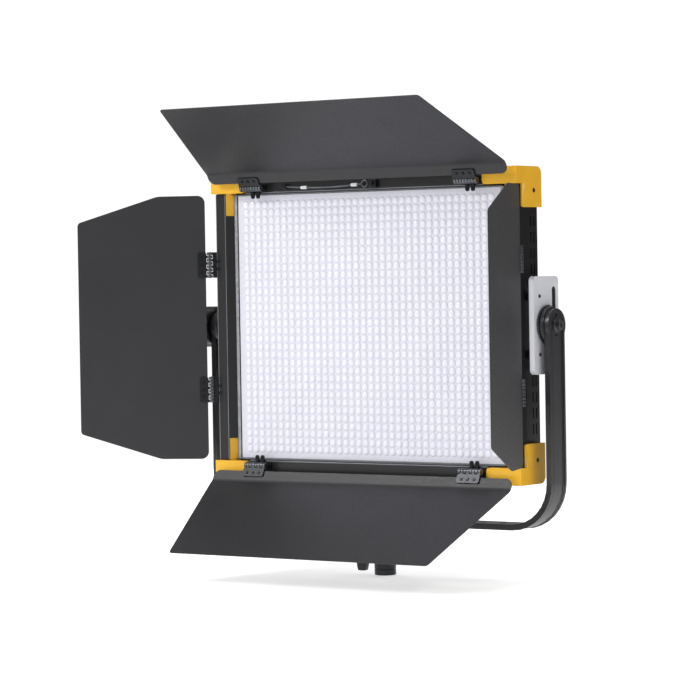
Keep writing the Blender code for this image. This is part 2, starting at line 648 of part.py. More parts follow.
def make_fan(tilt):
    """Fan frame behind the grille, and its rotor on the frame's stub axle."""
    y = BOX_BACK - SHEET - GAP - 0.0075
    half = 0.030
    outline = rectangle(2 * half, 2 * half, 0.003, 2)
    frame = plate_from_outline("fan", outline, 0.015, IN_XZ, (FAN_X, y, FAN_Z))
    frame = link_mesh("fan_frame", frame, "black_plastic", tilt)
    boolean(frame, shape(rod, "Y", (FAN_X, y + 0.001, FAN_Z), 0.0285, 0.015, 32))
    boolean(frame, shape(rod, "Y", (FAN_X, y, FAN_Z), 0.0255, 0.03, 32))
    spokes = bmesh.new()
    for turn in (Matrix.Rotation(pi / 4, 4, "Y"), Matrix.Rotation(-pi / 4, 4, "Y")):
        made = box(spokes, (-0.0284, -0.0072, -0.0015), (0.0284, -0.0059, 0.0015))
        bmesh.ops.transform(spokes, matrix=Matrix.Translation((FAN_X, y, FAN_Z)) @ turn, verts=made)
        join(frame, spokes)
        spokes = bmesh.new()
    spokes.free()
    join(frame, shape(rod, "Y", (FAN_X, y - 0.0055, FAN_Z), 0.0100, 0.0030, 20))
    join(frame, shape(rod, "Y", (FAN_X, y - 0.0010, FAN_Z), 0.0020, 0.0080, 12))
    axis = empty("fan_axis", (FAN_X, y + 0.0015, FAN_Z), tilt)
    rotor = shape(rod, "Y", (0, 0, 0), 0.0115, 0.010, 24)
    rotor = link_mesh("fan_rotor", rotor, "black_plastic", axis)
    for k in range(7):
        blade = bmesh.new()
        made = box(blade, (0.0100, -0.0007, -0.0060), (0.0265, 0.0007, 0.0060))
        pitch = Matrix.Rotation(radians(38), 4, "X")
        bmesh.ops.transform(blade, matrix=Matrix.Rotation(2 * pi * k / 7, 4, "Y") @ pitch, verts=made)
        join(rotor, blade)
    boolean(rotor, shape(rod, "Y", (0, -0.003, 0), 0.0025, 0.012, 12))
    return frame, rotor


# ---- head: yoke plates and tilt discs ------------------------------------------------------------
def make_yoke_plate(name, side, tilt):
    """The grey plate outside the housing, on four posts, with a slot behind the pivot."""
    front = PLATE_FRONT[name.split("_")[-1]]
    middle = (side * (PLATE_IN + PLATE_OUT) / 2, (front + PLATE_BACK) / 2, 0)
    outline = rectangle(PLATE_BACK - front, PLATE_TALL, 0.006, 3)
    plate = plate_from_outline(name, outline, PLATE_OUT - PLATE_IN, IN_YZ, middle)
    plate = link_mesh(name, plate, "grey_aluminium", tilt)
    foot = HOUSING_X + GAP
    for y, height in PLATE_POSTS:
        for z in (-height, height):
            centre = (side * (foot + PLATE_IN + 0.001) / 2, y, z)
            join(plate, shape(rod, "X", centre, POST_R, PLATE_IN + 0.001 - foot, 12))
    slot = rectangle(*PLATE_SLOT, 0.0042, 2)
    boolean(plate, plate_from_outline("slot", slot, 0.02, IN_YZ, (side * PLATE_OUT, PLATE_SLOT_Y, 0)))
    return boolean(plate, shape(rod, "X", (side * PLATE_OUT, 0, 0), BOLT_HOLE_R, 0.03, 20))


def make_tilt_disc(name, side, tilt):
    """A toothed friction disc on the face of the yoke plate."""
    points = []
    for k in range(DISC_TEETH * 2):
        angle = pi * k / DISC_TEETH
        reach = DISC_R - (0.0009 if k % 2 else 0)
        points.append((reach * cos(angle), reach * sin(angle)))
    inner = PLATE_OUT + GAP
    centre = (side * (inner + DISC_OUT) / 2, 0, 0)
    disc = plate_from_outline(name, points, DISC_OUT - inner, IN_YZ, centre)
    disc = link_mesh(name, disc, "black_steel", tilt)
    return boolean(disc, shape(rod, "X", centre, BOLT_HOLE_R, 0.02, 20))


# ---- barn doors ------------------------------------------------------------------------------------
def make_rail(name, along, side, tilt):
    """A channel-section rail, open at the back. The bottom and left rails take side = -1."""
    if along == "X":
        half, outer = GUARD_BAR_TIP - 2 * GAP, RAIL_Z
    else:
        half, outer = GUARD_BAR_LOW - GAP, RAIL_X
    low_edge, high_edge = sorted((side * (outer - RAIL_WIDE), side * outer))

    def stretch(reach, near, far, front, back):
        if along == "X":
            return (-reach, front, near), (reach, back, far)
        return (near, front, -reach), (far, back, reach)

    rail = shape(box, *stretch(half, low_edge, high_edge, RAIL_FRONT, RAIL_BACK))
    rail = link_mesh(name, rail, "black_paint", tilt)
    bevel(rail, 0.0008, 1)
    inside = shape(box, *stretch(half + 0.001, low_edge + RAIL_WALL, high_edge - RAIL_WALL,
                                 RAIL_FRONT + RAIL_WALL, RAIL_BACK + 0.001))
    return boolean(rail, inside)


def leaf_outline(root, root_half, shoulder, tip_half, length, corner):
    """Half widths root_half and tip_half, straight as far as the shoulder and narrowing beyond it."""
    corners = [(-root_half, root), (root_half, root), (root_half, shoulder), (tip_half, length),
               (-tip_half, length), (-root_half, shoulder)]
    return rounded(corners, (corner, corner, 0.003, 0.003, 0.003, 0.003), 4)


def make_side_leaf(name, axis):
    outline = leaf_outline(0.0055, SIDE_ROOT, LEAF_SHOULDER, SIDE_TIP, LEAF_LENGTH, 0.010)
    return link_mesh(name, plate_from_outline(name, outline, LEAF_THICK, IN_XY), "black_paint", axis)


def make_cross_leaf(name, axis):
    """A top or bottom leaf: narrow flange at the hinge, then the main sheet beyond the fold."""
    outline = leaf_outline(0.008, CROSS_ROOT - 0.001, CROSS_FOLD + 0.004, CROSS_TIP, CROSS_FOLD + 0.159, 0.010)
    bm = plate_from_outline(name, outline, LEAF_THICK, IN_XY)
    everything = bm.verts[:] + bm.edges[:] + bm.faces[:]
    bmesh.ops.bisect_plane(bm, geom=everything, dist=1e-7, plane_co=(0, CROSS_FOLD, 0), plane_no=(0, 1, 0))
    flange = [vert for vert in bm.verts if vert.co.y < CROSS_FOLD - 1e-5]
    fold = Vector((0, CROSS_FOLD, 0))
    turn = Matrix.Translation(fold) @ Matrix.Rotation(radians(FOLD_ANGLE), 4, "X") @ Matrix.Translation(-fold)
    bmesh.ops.transform(bm, matrix=turn, verts=flange)
    back = radians(FOLD_ANGLE)
    start = Vector((0, CROSS_FOLD * cos(back) - CROSS_FOLD, CROSS_FOLD * sin(back)))
    bmesh.ops.translate(bm, vec=start, verts=bm.verts)
    bmesh.ops.triangulate(bm, faces=bm.faces)
    return link_mesh(name, bm, "black_paint", axis)


def knuckle_spans(first):
    """Where every second knuckle lies along the barrel, from the first or the second one."""
    pitch = KNUCKLE + GAP
    start = -(KNUCKLES * pitch - GAP) / 2
    return [(start + k * pitch, start + k * pitch + KNUCKLE) for k in range(first, KNUCKLES, 2)]


def make_hinge_plate(name, at, tilt_of_plate, axis):
    """The moving half of a hinge, on the inner face of its leaf."""
    near, far, thick = HINGE_PLATE
    half = (KNUCKLES * (KNUCKLE + GAP) - GAP) / 2
    inner = -LEAF_THICK / 2 - GAP
    outline = rounded([(-half, near), (half, near), (half, far), (-half, far)], (0, 0, 0.003, 0.003), 2)
    turn = Matrix.Translation((at, 0, 0)) @ Matrix.Rotation(radians(tilt_of_plate), 4, "X")

    def placed(bm):
        bmesh.ops.transform(bm, matrix=turn, verts=bm.verts)
        return bm

    plate = placed(plate_from_outline(name, outline, thick, IN_XY, (0, 0, inner - thick / 2)))
    plate = link_mesh(name, plate, "black_steel", axis)
    for low, high in knuckle_spans(1):
        join(plate, placed(shape(box, (low, 0.0015, inner - thick), (high, near + 0.0005, inner))))
        join(plate, placed(shape(rod, "X", ((low + high) / 2, 0, 0), BARREL_R, high - low, 12)))
    return boolean(plate, placed(shape(rod, "X", (0, 0, 0), PIN_R + GAP, 0.05, 10)))


def make_hinge_base(name, at, stem, pad, axis):
    """The fixed half: knuckles with the pin, fingers back to the rail, and the pad screwed to it."""
    base = link_mesh(name, shape(box, *pad), "black_steel", axis)
    half = (KNUCKLES * (KNUCKLE + GAP) - GAP) / 2
    length = hypot(*stem)
    turn = Matrix.Rotation(atan2(stem[1], stem[0]), 4, "X")
    for low, high in knuckle_spans(0):
        middle = at + (low + high) / 2
        finger = shape(box, (at + low, 0, -0.0009), (at + high, length, 0.0009))
        bmesh.ops.transform(finger, matrix=turn, verts=finger.verts)
        join(base, finger)
        join(base, shape(rod, "X", (middle, 0, 0), BARREL_R, high - low, 12))
    web = shape(box, (at - half, 0.0046, -0.0010), (at + half, length, 0.0010))
    bmesh.ops.transform(web, matrix=turn, verts=web.verts)
    join(base, web)
    return join(base, shape(rod, "X", (at, 0, 0), PIN_R, 2 * half, 8))


# ---- hinge frames: local X along the hinge, Y across the face when shut, Z to the front ------------
def frame_turn(across):
    front = Vector((0, -1, 0))
    across = Vector(across)
    along = across.cross(front)
    return Matrix((along, across, front)).transposed()


LEAVES = {
    "left": ((-SIDE_AXIS_X, SIDE_AXIS_Y, 0), (1, 0, 0), LEFT_OPEN),
    "right": ((SIDE_AXIS_X, SIDE_AXIS_Y, 0), (-1, 0, 0), RIGHT_OPEN),
    "top": ((0, CROSS_AXIS_Y, CROSS_AXIS_Z), (0, 0, -1), TOP_OPEN),
    "bottom": ((0, CROSS_AXIS_Y, -CROSS_AXIS_Z), (0, 0, 1), BOTTOM_OPEN),
}


def make_leaf_set(name, place, across, opened, tilt):
    """One leaf with its two hinges: the bases stay with the rail, the plates turn with the leaf."""
    turn = frame_turn(across)
    fixed = empty(f"{name}_hinge_frame", place, tilt, turn)
    moving = empty(f"{name}_leaf_axis", place, tilt, turn @ Matrix.Rotation(radians(opened), 3, "X"))
    cross = name in ("top", "bottom")
    reach = CROSS_HINGE_AT if cross else SIDE_HINGE_AT
    half = (KNUCKLES * (KNUCKLE + GAP) - GAP) / 2
    if cross:
        make_cross_leaf(f"{name}_leaf", moving)
        deep = RAIL_FRONT - CROSS_AXIS_Y
        stem = (0, -deep + 0.001)
        pad_y, pad_z = (-0.006, 0.0045), (-deep + GAP, -deep + GAP + 0.0015)
    else:
        make_side_leaf(f"{name}_leaf", moving)
        out, deep = SIDE_AXIS_X - RAIL_X, RAIL_FRONT - SIDE_AXIS_Y
        stem = (out - 0.0008, -deep)
        pad_y, pad_z = (out - GAP - 0.0015, out - GAP), (-deep - 0.0125, -deep + 0.0006)
    for label, at in (("a", -reach), ("b", reach)):
        pad = (at - half, pad_y[0], pad_z[0]), (at + half, pad_y[1], pad_z[1])
        make_hinge_base(f"{name}_hinge_base_{label}", at, stem, pad, fixed)
        make_hinge_plate(f"{name}_hinge_plate_{label}", at, FOLD_ANGLE if cross else 0, moving)


def make_safety_wire(tilt):
    """A short wire along the top rail with a ferrule near each end and a ring to clip on."""
    y, z = RAIL_FRONT - 0.004, 0.1815
    curve = bpy.data.curves.new("safety_wire", "CURVE")
    curve.dimensions = "3D"
    curve.bevel_depth = 0.0011
    curve.bevel_resolution = 2
    curve.use_fill_caps = True
    ends = -0.117, 0.004
    count = 13
    spline = curve.splines.new("POLY")
    spline.points.add(count - 1)
    for k, point in enumerate(spline.points):
        share = k / (count - 1)
        sag = 0.0028 * 4 * share * (1 - share)
        point.co = (ends[0] + (ends[1] - ends[0]) * share, y, z - sag, 1)
    drawn = bpy.data.objects.new("safety_wire_line", curve)
    LIGHT.objects.link(drawn)
    bpy.context.view_layer.update()
    mesh = bpy.data.meshes.new_from_object(drawn.evaluated_get(bpy.context.evaluated_depsgraph_get()))
    bpy.data.objects.remove(drawn)
    bm = bmesh.new()
    bm.from_mesh(mesh)
    bpy.data.meshes.remove(mesh)
    bmesh.ops.remove_doubles(bm, verts=bm.verts, dist=1e-6)
    wire = link_mesh("safety_wire", bm, "bright_steel", tilt)
    for x in (-0.087, -0.008):
        share = (x - ends[0]) / (ends[1] - ends[0])
        sag = 0.0028 * 4 * share * (1 - share)
        join(wire, shape(rod, "X", (x, y, z - sag), 0.0021, 0.009, 12))
    low = (ends[0] - 0.005, RAIL_FRONT - 0.0060, z - 0.003)
    high = (ends[0] + 0.002, RAIL_FRONT - GAP, z + 0.003)
    join(wire, shape(box, low, high))
    join(wire, shape(rod, "Y", (ends[1] + 0.004, y, z), 0.0050, 0.0022, 16))
    return boolean(wire, shape(rod, "Y", (ends[1] + 0.004, y, z), 0.0030, 0.01, 12))


def make_door_catch(tilt):
    """The catch on the top rail that the ring of the safety wire clips to."""
    low, high = (0.0145, RAIL_FRONT - 0.0060, 0.1765), (0.0260, RAIL_FRONT - GAP, 0.1865)
    catch = link_mesh("door_catch", shape(box, low, high), "black_steel", tilt)
    bevel(catch, 0.001, 1)
    return join(catch, shape(rod, "Y", (0.0202, RAIL_FRONT - 0.0070, 0.1815), 0.0028, 0.004, 12))


def build():
    tilt = empty("tilt_axis", (0, 0, PIVOT_Z))
    make_yoke(tilt)
    make_spigot()
    make_tee_handle()
    make_pivot_bolt(tilt)
    make_tilt_knob(tilt)
    make_housing(tilt)
    make_bezel(tilt)
    for across, sx in (("left", -1), ("right", 1)):
        for level, sz in (("top", 1), ("bottom", -1)):
            make_guard(f"corner_guard_{level}_{across}", sx, sz, tilt)
    make_lens_panel(tilt)
    make_led_board(tilt)
    make_heat_sink(tilt)
    make_rear_cover(tilt)
    make_driver_box(tilt)
    make_control_panel(tilt)
    make_display(tilt)
    for name, (x, z) in KNOBS.items():
        make_rotary_knob(name, x, z, tilt)
    for k, (x, z) in enumerate(BUTTONS):
        make_button(f"menu_button_{k + 1}", x, z, tilt)
    for name, (x, z) in SOCKETS.items():
        make_socket(name, x, z, tilt)
    make_inlet(tilt)
    make_switch(tilt)
    make_driver_board(tilt)
    make_fan(tilt)
    for name, side in (("left", -1), ("right", 1)):
        make_yoke_plate(f"yoke_plate_{name}", side, tilt)
        make_tilt_disc(f"tilt_disc_{name}", side, tilt)
    make_rail("door_rail_top", "X", 1, tilt)
    make_rail("door_rail_bottom", "X", -1, tilt)
    make_rail("door_rail_right", "Z", 1, tilt)
    make_rail("door_rail_left", "Z", -1, tilt)
    for name, (place, across, opened) in LEAVES.items():
        make_leaf_set(name, place, across, opened, tilt)
    make_safety_wire(tilt)
    make_door_catch(tilt)
    bpy.context.view_layer.update()


build()
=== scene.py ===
from math import cos, pi, radians, sin

import bmesh
import bpy
from mathutils import Matrix, Vector


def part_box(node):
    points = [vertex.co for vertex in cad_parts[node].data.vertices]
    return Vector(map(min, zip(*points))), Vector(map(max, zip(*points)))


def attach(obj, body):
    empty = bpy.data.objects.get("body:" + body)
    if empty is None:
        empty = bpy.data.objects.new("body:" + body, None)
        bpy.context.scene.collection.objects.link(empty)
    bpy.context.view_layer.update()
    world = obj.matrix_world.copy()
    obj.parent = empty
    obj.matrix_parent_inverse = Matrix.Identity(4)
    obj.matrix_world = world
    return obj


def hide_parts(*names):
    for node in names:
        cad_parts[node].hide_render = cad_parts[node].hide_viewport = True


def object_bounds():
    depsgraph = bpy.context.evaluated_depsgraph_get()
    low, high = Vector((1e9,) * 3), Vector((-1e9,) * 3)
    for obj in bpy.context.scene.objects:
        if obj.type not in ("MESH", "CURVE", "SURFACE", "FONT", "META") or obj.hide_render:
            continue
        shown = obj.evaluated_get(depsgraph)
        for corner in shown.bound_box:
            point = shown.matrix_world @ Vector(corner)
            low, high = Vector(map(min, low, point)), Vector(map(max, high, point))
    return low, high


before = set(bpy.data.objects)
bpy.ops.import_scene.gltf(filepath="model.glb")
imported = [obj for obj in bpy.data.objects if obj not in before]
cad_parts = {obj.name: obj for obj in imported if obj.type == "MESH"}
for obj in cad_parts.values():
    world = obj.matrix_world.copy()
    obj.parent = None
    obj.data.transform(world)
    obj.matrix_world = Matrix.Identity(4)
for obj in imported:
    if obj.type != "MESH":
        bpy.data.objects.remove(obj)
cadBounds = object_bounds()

tiltHeight = 0.320    # tilt axis above the foot of the spigot
sharpAngle = 38       # degrees between two faces from which the edge between them shows as an edge


# mesh helpers
def vertsOf(geom):
    return [v for v in geom if isinstance(v, bmesh.types.BMVert)]


def box(bm, low, high):
    size = Vector(high) - Vector(low)
    middle = Matrix.Translation((Vector(high) + Vector(low)) / 2)
    bmesh.ops.create_cube(bm, size=1, matrix=middle @ Matrix.Diagonal((*size, 1)))


axisTurns = {"X": Matrix.Rotation(pi / 2, 4, "Y"), "Y": Matrix.Rotation(-pi / 2, 4, "X"), "Z": Matrix()}


def rod(bm, axis, centre, radius, length, sides=24, endRadius=None):
    bmesh.ops.create_cone(bm, cap_ends=True, segments=sides, radius1=radius, depth=length,
                          radius2=radius if endRadius is None else endRadius,
                          matrix=Matrix.Translation(centre) @ axisTurns[axis])


def turnedSolid(bm, profile, matrix, steps=48):
    # (radius, height) points from the bottom of the axis to its top, spun about Z and put in place
    verts = [bm.verts.new((radius, 0, height)) for radius, height in profile]
    edges = [bm.edges.new(pair) for pair in zip(verts, verts[1:])]
    before = set(bm.verts) - set(verts)
    bmesh.ops.spin(bm, geom=verts + edges, cent=(0, 0, 0), axis=(0, 0, 1), angle=2 * pi, steps=steps,
                   use_merge=True)
    made = [v for v in bm.verts if v not in before]
    bmesh.ops.remove_doubles(bm, verts=made, dist=1e-6)
    made = [v for v in bm.verts if v not in before]
    bmesh.ops.transform(bm, matrix=matrix, verts=made)


def flatShape(bm, corners, thick, radius=0.0, steps=4):
    # a plate in the XY plane, its outline rounded at every corner, centred on z = 0
    before = set(bm.verts)
    face = bm.faces.new([bm.verts.new((x, y, -thick / 2)) for x, y in corners])
    bm.normal_update()
    if radius:
        bmesh.ops.bevel(bm, geom=face.verts[:], offset=radius, segments=steps, profile=0.5, affect="VERTICES",
                        clamp_overlap=True, material=-1)
    made = [v for v in bm.verts if v not in before]
    sheet = list({f for v in made for f in v.link_faces})
    up = bmesh.ops.extrude_face_region(bm, geom=sheet)["geom"]
    bmesh.ops.translate(bm, vec=(0, 0, thick), verts=vertsOf(up))


def bevelSharp(bm, width, segments=2, limit=35):
    bm.normal_update()
    sharp = [e for e in bm.edges if len(e.link_faces) == 2 and e.calc_face_angle(0) > radians(limit)]
    bmesh.ops.bevel(bm, geom=sharp, offset=width, offset_type="OFFSET", segments=segments, profile=0.5,
                    affect="EDGES", material=-1, clamp_overlap=True)


def shape(builder, *args, **settings):
    bm = bmesh.new()
    builder(bm, *args, **settings)
    return bm


def addTo(bm, part, matrix=Matrix()):
    part.transform(matrix)
    mesh = bpy.data.meshes.new("part")
    part.to_mesh(mesh)
    bm.from_mesh(mesh)
    bpy.data.meshes.remove(mesh)
    part.free()


def makePiece(name, bm, material, body, nodes=(), sharp=sharpAngle):
    bmesh.ops.recalc_face_normals(bm, faces=bm.faces)
    mesh = bpy.data.meshes.new(name)
    bm.to_mesh(mesh)
    bm.free()
    piece = bpy.data.objects.new(name, mesh)
    bpy.context.scene.collection.objects.link(piece)
    mesh.materials.append(material)
    mesh.shade_smooth()
    mesh.set_sharp_from_angle(angle=radians(sharp))
    shading = piece.modifiers.new("shading", "WEIGHTED_NORMAL")
    shading.weight = 100
    shading.keep_sharp = True
    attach(piece, body)
    if nodes:
        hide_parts(*nodes)


# material helpers
def linear(code):
    parts = [int(code[k:k + 2], 16) / 255 for k in (1, 3, 5)]
    return (*[c / 12.92 if c <= 0.04045 else ((c + 0.055) / 1.055) ** 2.4 for c in parts], 1)


def addNode(tree, kind, settings, links=None):
    node = tree.nodes.new("ShaderNode" + kind)
    for key, value in settings.items():
        if isinstance(key, int) or key[0].isupper():
            node.inputs[key].default_value = value
        else:
            setattr(node, key, value)
    for key, socket in (links or {}).items():
        tree.links.new(socket, node.inputs[key])
    return node


def makeFinish(name, color, dark, roughness, spread=0.06, grain=0.0012, bump=0.12, cloud=0.05, **shader):
    # color and dark drift into each other over clouds of a few centimetres; the grain gives bump and gloss
    material = bpy.data.materials.new(name)
    material.use_nodes = True
    tree = material.node_tree
    principled = tree.nodes["Principled BSDF"]
    place = addNode(tree, "TexCoord", {}).outputs["Object"]
    clouds = addNode(tree, "TexNoise", {"Scale": 1 / cloud, "Detail": 3.0, "Roughness": 0.55},
                     {"Vector": place})
    drift = addNode(tree, "MapRange", {"From Min": 0.3, "From Max": 0.7}, {"Value": clouds.outputs["Fac"]})
    tint = addNode(tree, "Mix", {"data_type": "RGBA", 6: linear(dark), 7: linear(color)},
                   {0: drift.outputs["Result"]})
    grains = addNode(tree, "TexNoise", {"Scale": 1 / grain, "Detail": 2.0, "Roughness": 0.6},
                     {"Vector": place})
    gloss = addNode(tree, "MapRange", {"From Min": 0.3, "From Max": 0.7, "To Min": roughness - spread,
                                       "To Max": roughness + spread}, {"Value": grains.outputs["Fac"]})
    relief = addNode(tree, "Bump", {"Strength": bump, "Distance": grain / 4},
                     {"Height": grains.outputs["Fac"]})
    tree.links.new(tint.outputs[2], principled.inputs["Base Color"])
    tree.links.new(gloss.outputs["Result"], principled.inputs["Roughness"])
    tree.links.new(relief.outputs["Normal"], principled.inputs["Normal"])
    for key, value in shader.items():
        principled.inputs[key.replace("_", " ")].default_value = value
    return material


# powder coat over aluminium sheet: fine orange-peel, drawn at 2.4 mm so that it shows, soft wide highlights
leafPaint = makeFinish("powderCoatedAluminiumSheet", "#2c2c2f", "#28282b", 0.46, grain=0.0024, bump=0.10,
                       IOR=1.5)
# the same powder coat on extrusions and castings, a little deeper and smoother
bodyPaint = makeFinish("powderCoatedExtrusion", "#1b1b1e", "#18181a", 0.34, grain=0.0020, bump=0.07, IOR=1.5)
# the yoke is a steel bar with a glossier coat that catches the light along its edges
yokePaint = makeFinish("powderCoatedSteelBar", "#313134", "#2b2b2e", 0.38, spread=0.03, grain=0.0022,
                       bump=0.02, IOR=1.5, Coat_Weight=0.12, Coat_Roughness=0.25)
# black oxide on stamped steel hinges: dark metal with an oily sheen
blackSteel = makeFinish("blackOxideSteel", "#2e2f31", "#232427", 0.32, grain=0.0014, bump=0.06, Metallic=0.6)
# bare steel rubbed bright: the barrels of the hinges, the toothed discs, the pivot bolt and the safety wire
barrelSteel = makeFinish("rubbedHingeSteel", "#7a7c81", "#55575b", 0.36, grain=0.0014, bump=0.05,
                         Metallic=0.9)
# injection-moulded ABS guards: eggshell gloss with a fine spark-eroded grain
yellowAbs = makeFinish("mouldedYellowAbs", "#fdc63c", "#f8ba30", 0.34, grain=0.0022, bump=0.05, IOR=1.53,
                       Specular_IOR_Level=0.3, Subsurface_Weight=0.08, Subsurface_Scale=0.004)
# black ABS and nylon mouldings: deep black, satin
blackPlastic = makeFinish("mouldedBlackNylon", "#19191b", "#151517", 0.40, grain=0.0016, bump=0.10, IOR=1.53)
# soft-touch knob rims
knobPlastic = makeFinish("mouldedKnobNylon", "#161618", "#121213", 0.46, grain=0.0018, bump=0.14, IOR=1.53)
# bead-blasted clear-anodised aluminium plate: even pale grey, almost no highlight
blastedAluminium = makeFinish("beadBlastedAnodisedAluminium", "#ebebf1", "#e2e3e9", 0.50, grain=0.0016,
                              bump=0.10, Metallic=0.15)
# pale metal strips on the rails' edges: their pale colour is a painted highlight for the light caught by the
# rounded edges
railHighlightPaint = makeFinish("paintedRailHighlight", "#9a9ca2", "#84868b", 0.34, grain=0.0016, bump=0.05,
                          Metallic=0.8)
# pale ring on the bezel's lip round the lens sheet: a painted highlight of the lip, its gloss uneven over a few
# millimetres
lipHighlightPaint = makeFinish("paintedLipHighlight", "#b4b5ba", "#8f9095", 0.42, spread=0.12, grain=0.0030,
                           bump=0.15, cloud=0.006, Metallic=0.3)
# mill-finish extruded heat sink
bareAluminium = makeFinish("extrudedAluminium", "#b9bcc0", "#a9acb0", 0.36, grain=0.0030, bump=0.05,
                           Metallic=1.0)
# dark nickel on the spigot: a shiny grey-black
darkNickel = makeFinish("blackNickelSteel", "#3a3b3e", "#2f3033", 0.24, grain=0.0030, bump=0.03,
                        Metallic=0.85)
# solder mask over the led board and over the driver board
whiteMask = makeFinish("whiteSolderMask", "#e9ebe6", "#dfe1dc", 0.5)
greenMask = makeFinish("greenSolderMask", "#27573d", "#1f4a33", 0.42)
# smoked display window: near-black glass, mirror smooth
smokedGlass = makeFinish("smokedDisplayGlass", "#11161b", "#0d1216", 0.09, spread=0.02, bump=0.0, IOR=1.52)
# crimped sleeves of the safety wire
whiteSleeve = makeFinish("mouldedWhiteNylon", "#f1f1f0", "#e9e9e8", 0.45)

print("materials made")


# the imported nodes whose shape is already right: their loose triangles are joined, flattened and given edges
joining = {"near": 0.00001, "flat": 0.6}


def finishNode(name, material, width, segments):
    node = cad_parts[name]
    node.data.materials.clear()
    node.data.materials.append(material)
    weld = node.modifiers.new("weld", "WELD")
    weld.merge_threshold = joining["near"]
    flatten = node.modifiers.new("flatten", "DECIMATE")
    flatten.decimate_type = "DISSOLVE"
    flatten.angle_limit = radians(joining["flat"])
    edges = node.modifiers.new("edges", "BEVEL")
    edges.width = width
    edges.segments = segments
    edges.limit_method = "ANGLE"
    edges.angle_limit = radians(sharpAngle)
    shading = node.modifiers.new("shading", "WEIGHTED_NORMAL")
    shading.weight = 100
    shading.keep_sharp = True
    node.data.shade_smooth()


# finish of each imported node, the width of its edges and their segments
finishes = {
    "yoke": (yokePaint, 0.0003, 2),
    "housing_frame": (bodyPaint, 0.0005, 2),
    "front_bezel": (blackPlastic, 0.0004, 2),
    "rear_cover": (bodyPaint, 0.0004, 1),
    "driver_box": (bodyPaint, 0.0004, 1),
    "control_panel": (blackPlastic, 0.0004, 2),
    "display_window": (smokedGlass, 0.0003, 2),
    "data_in_socket": (blackPlastic, 0.0003, 2),
    "data_out_socket": (blackPlastic, 0.0003, 2),
    "mains_inlet": (blackPlastic, 0.0003, 2),
    "power_switch": (knobPlastic, 0.0006, 3),
    "driver_board": (greenMask, 0.0002, 1),
    "fan_frame": (blackPlastic, 0.0003, 1),
    "fan_rotor": (blackPlastic, 0.0002, 1),
    "led_board": (whiteMask, 0.0002, 1),
    "heat_sink": (bareAluminium, 0.0002, 1),
    "yoke_plate_left": (blastedAluminium, 0.0007, 3),
    "yoke_plate_right": (blastedAluminium, 0.0007, 3),
    "tilt_disc_left": (barrelSteel, 0.0002, 1),
    "tilt_disc_right": (barrelSteel, 0.0002, 1),
    "door_rail_top": (bodyPaint, 0.0008, 3),
    "door_rail_bottom": (bodyPaint, 0.0008, 3),
    "door_rail_left": (bodyPaint, 0.0008, 3),
    "door_rail_right": (bodyPaint, 0.0008, 3),
    "corner_guard_top_left": (yellowAbs, 0.0007, 3),
    "corner_guard_top_right": (yellowAbs, 0.0007, 3),
    "corner_guard_bottom_left": (yellowAbs, 0.0007, 3),
    "corner_guard_bottom_right": (yellowAbs, 0.0007, 3),
    "door_catch": (blackSteel, 0.0003, 2),
    "pivot_bolt": (barrelSteel, 0.0005, 3),
    "menu_button_1": (blastedAluminium, 0.0004, 2),
    "menu_button_2": (blastedAluminium, 0.0004, 2),
    "menu_button_3": (blastedAluminium, 0.0004, 2),
}
for nodeName, (material, width, segments) in finishes.items():
    finishNode(nodeName, material, width, segments)
print("packed nodes finished")


# lens panel: a white board under a clear moulded sheet, a grid of domes with a plain margin
# the glow pair is painted light: emission strength between the domes and at their crowns
lens = {"columns": 38, "rows": 32, "pitch": 0.0103, "radius": 0.0050, "rise": 0.0019, "sunk": 0.0001,
        "edge": 0.0004, "paintedGlow": (0.15, 0.30)}


def makeLensMaterial():
    # moulded acrylic with painted light: its emission is a painted highlight at the domes' crowns, fading to
    # painted shade between them
    material = makeFinish("mouldedAcrylicLens", "#dadae6", "#d5d5e2", 0.26, spread=0.04, grain=0.004,
                          bump=0.02, IOR=1.49, Coat_Weight=0.5, Coat_Roughness=0.12)
    principled = material.node_tree.nodes["Principled BSDF"]
    # painted light: the sheet glows to stand in for the light falling on it
    principled.inputs["Emission Color"].default_value = linear("#f8f8ff")
    tree = material.node_tree
    place = addNode(tree, "TexCoord", {}).outputs["Object"]
    depth = addNode(tree, "SeparateXYZ", {}, {0: place}).outputs["Y"]
    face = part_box("lens_panel")[0][1]
    dim, bright = lens["paintedGlow"]
    paintedGlow = addNode(tree, "MapRange", {"From Min": face, "From Max": face - lens["rise"], "To Min": dim,
                                      "To Max": bright}, {"Value": depth})
    tree.links.new(paintedGlow.outputs["Result"], principled.inputs["Emission Strength"])
    return material


lensAcrylic = makeLensMaterial()


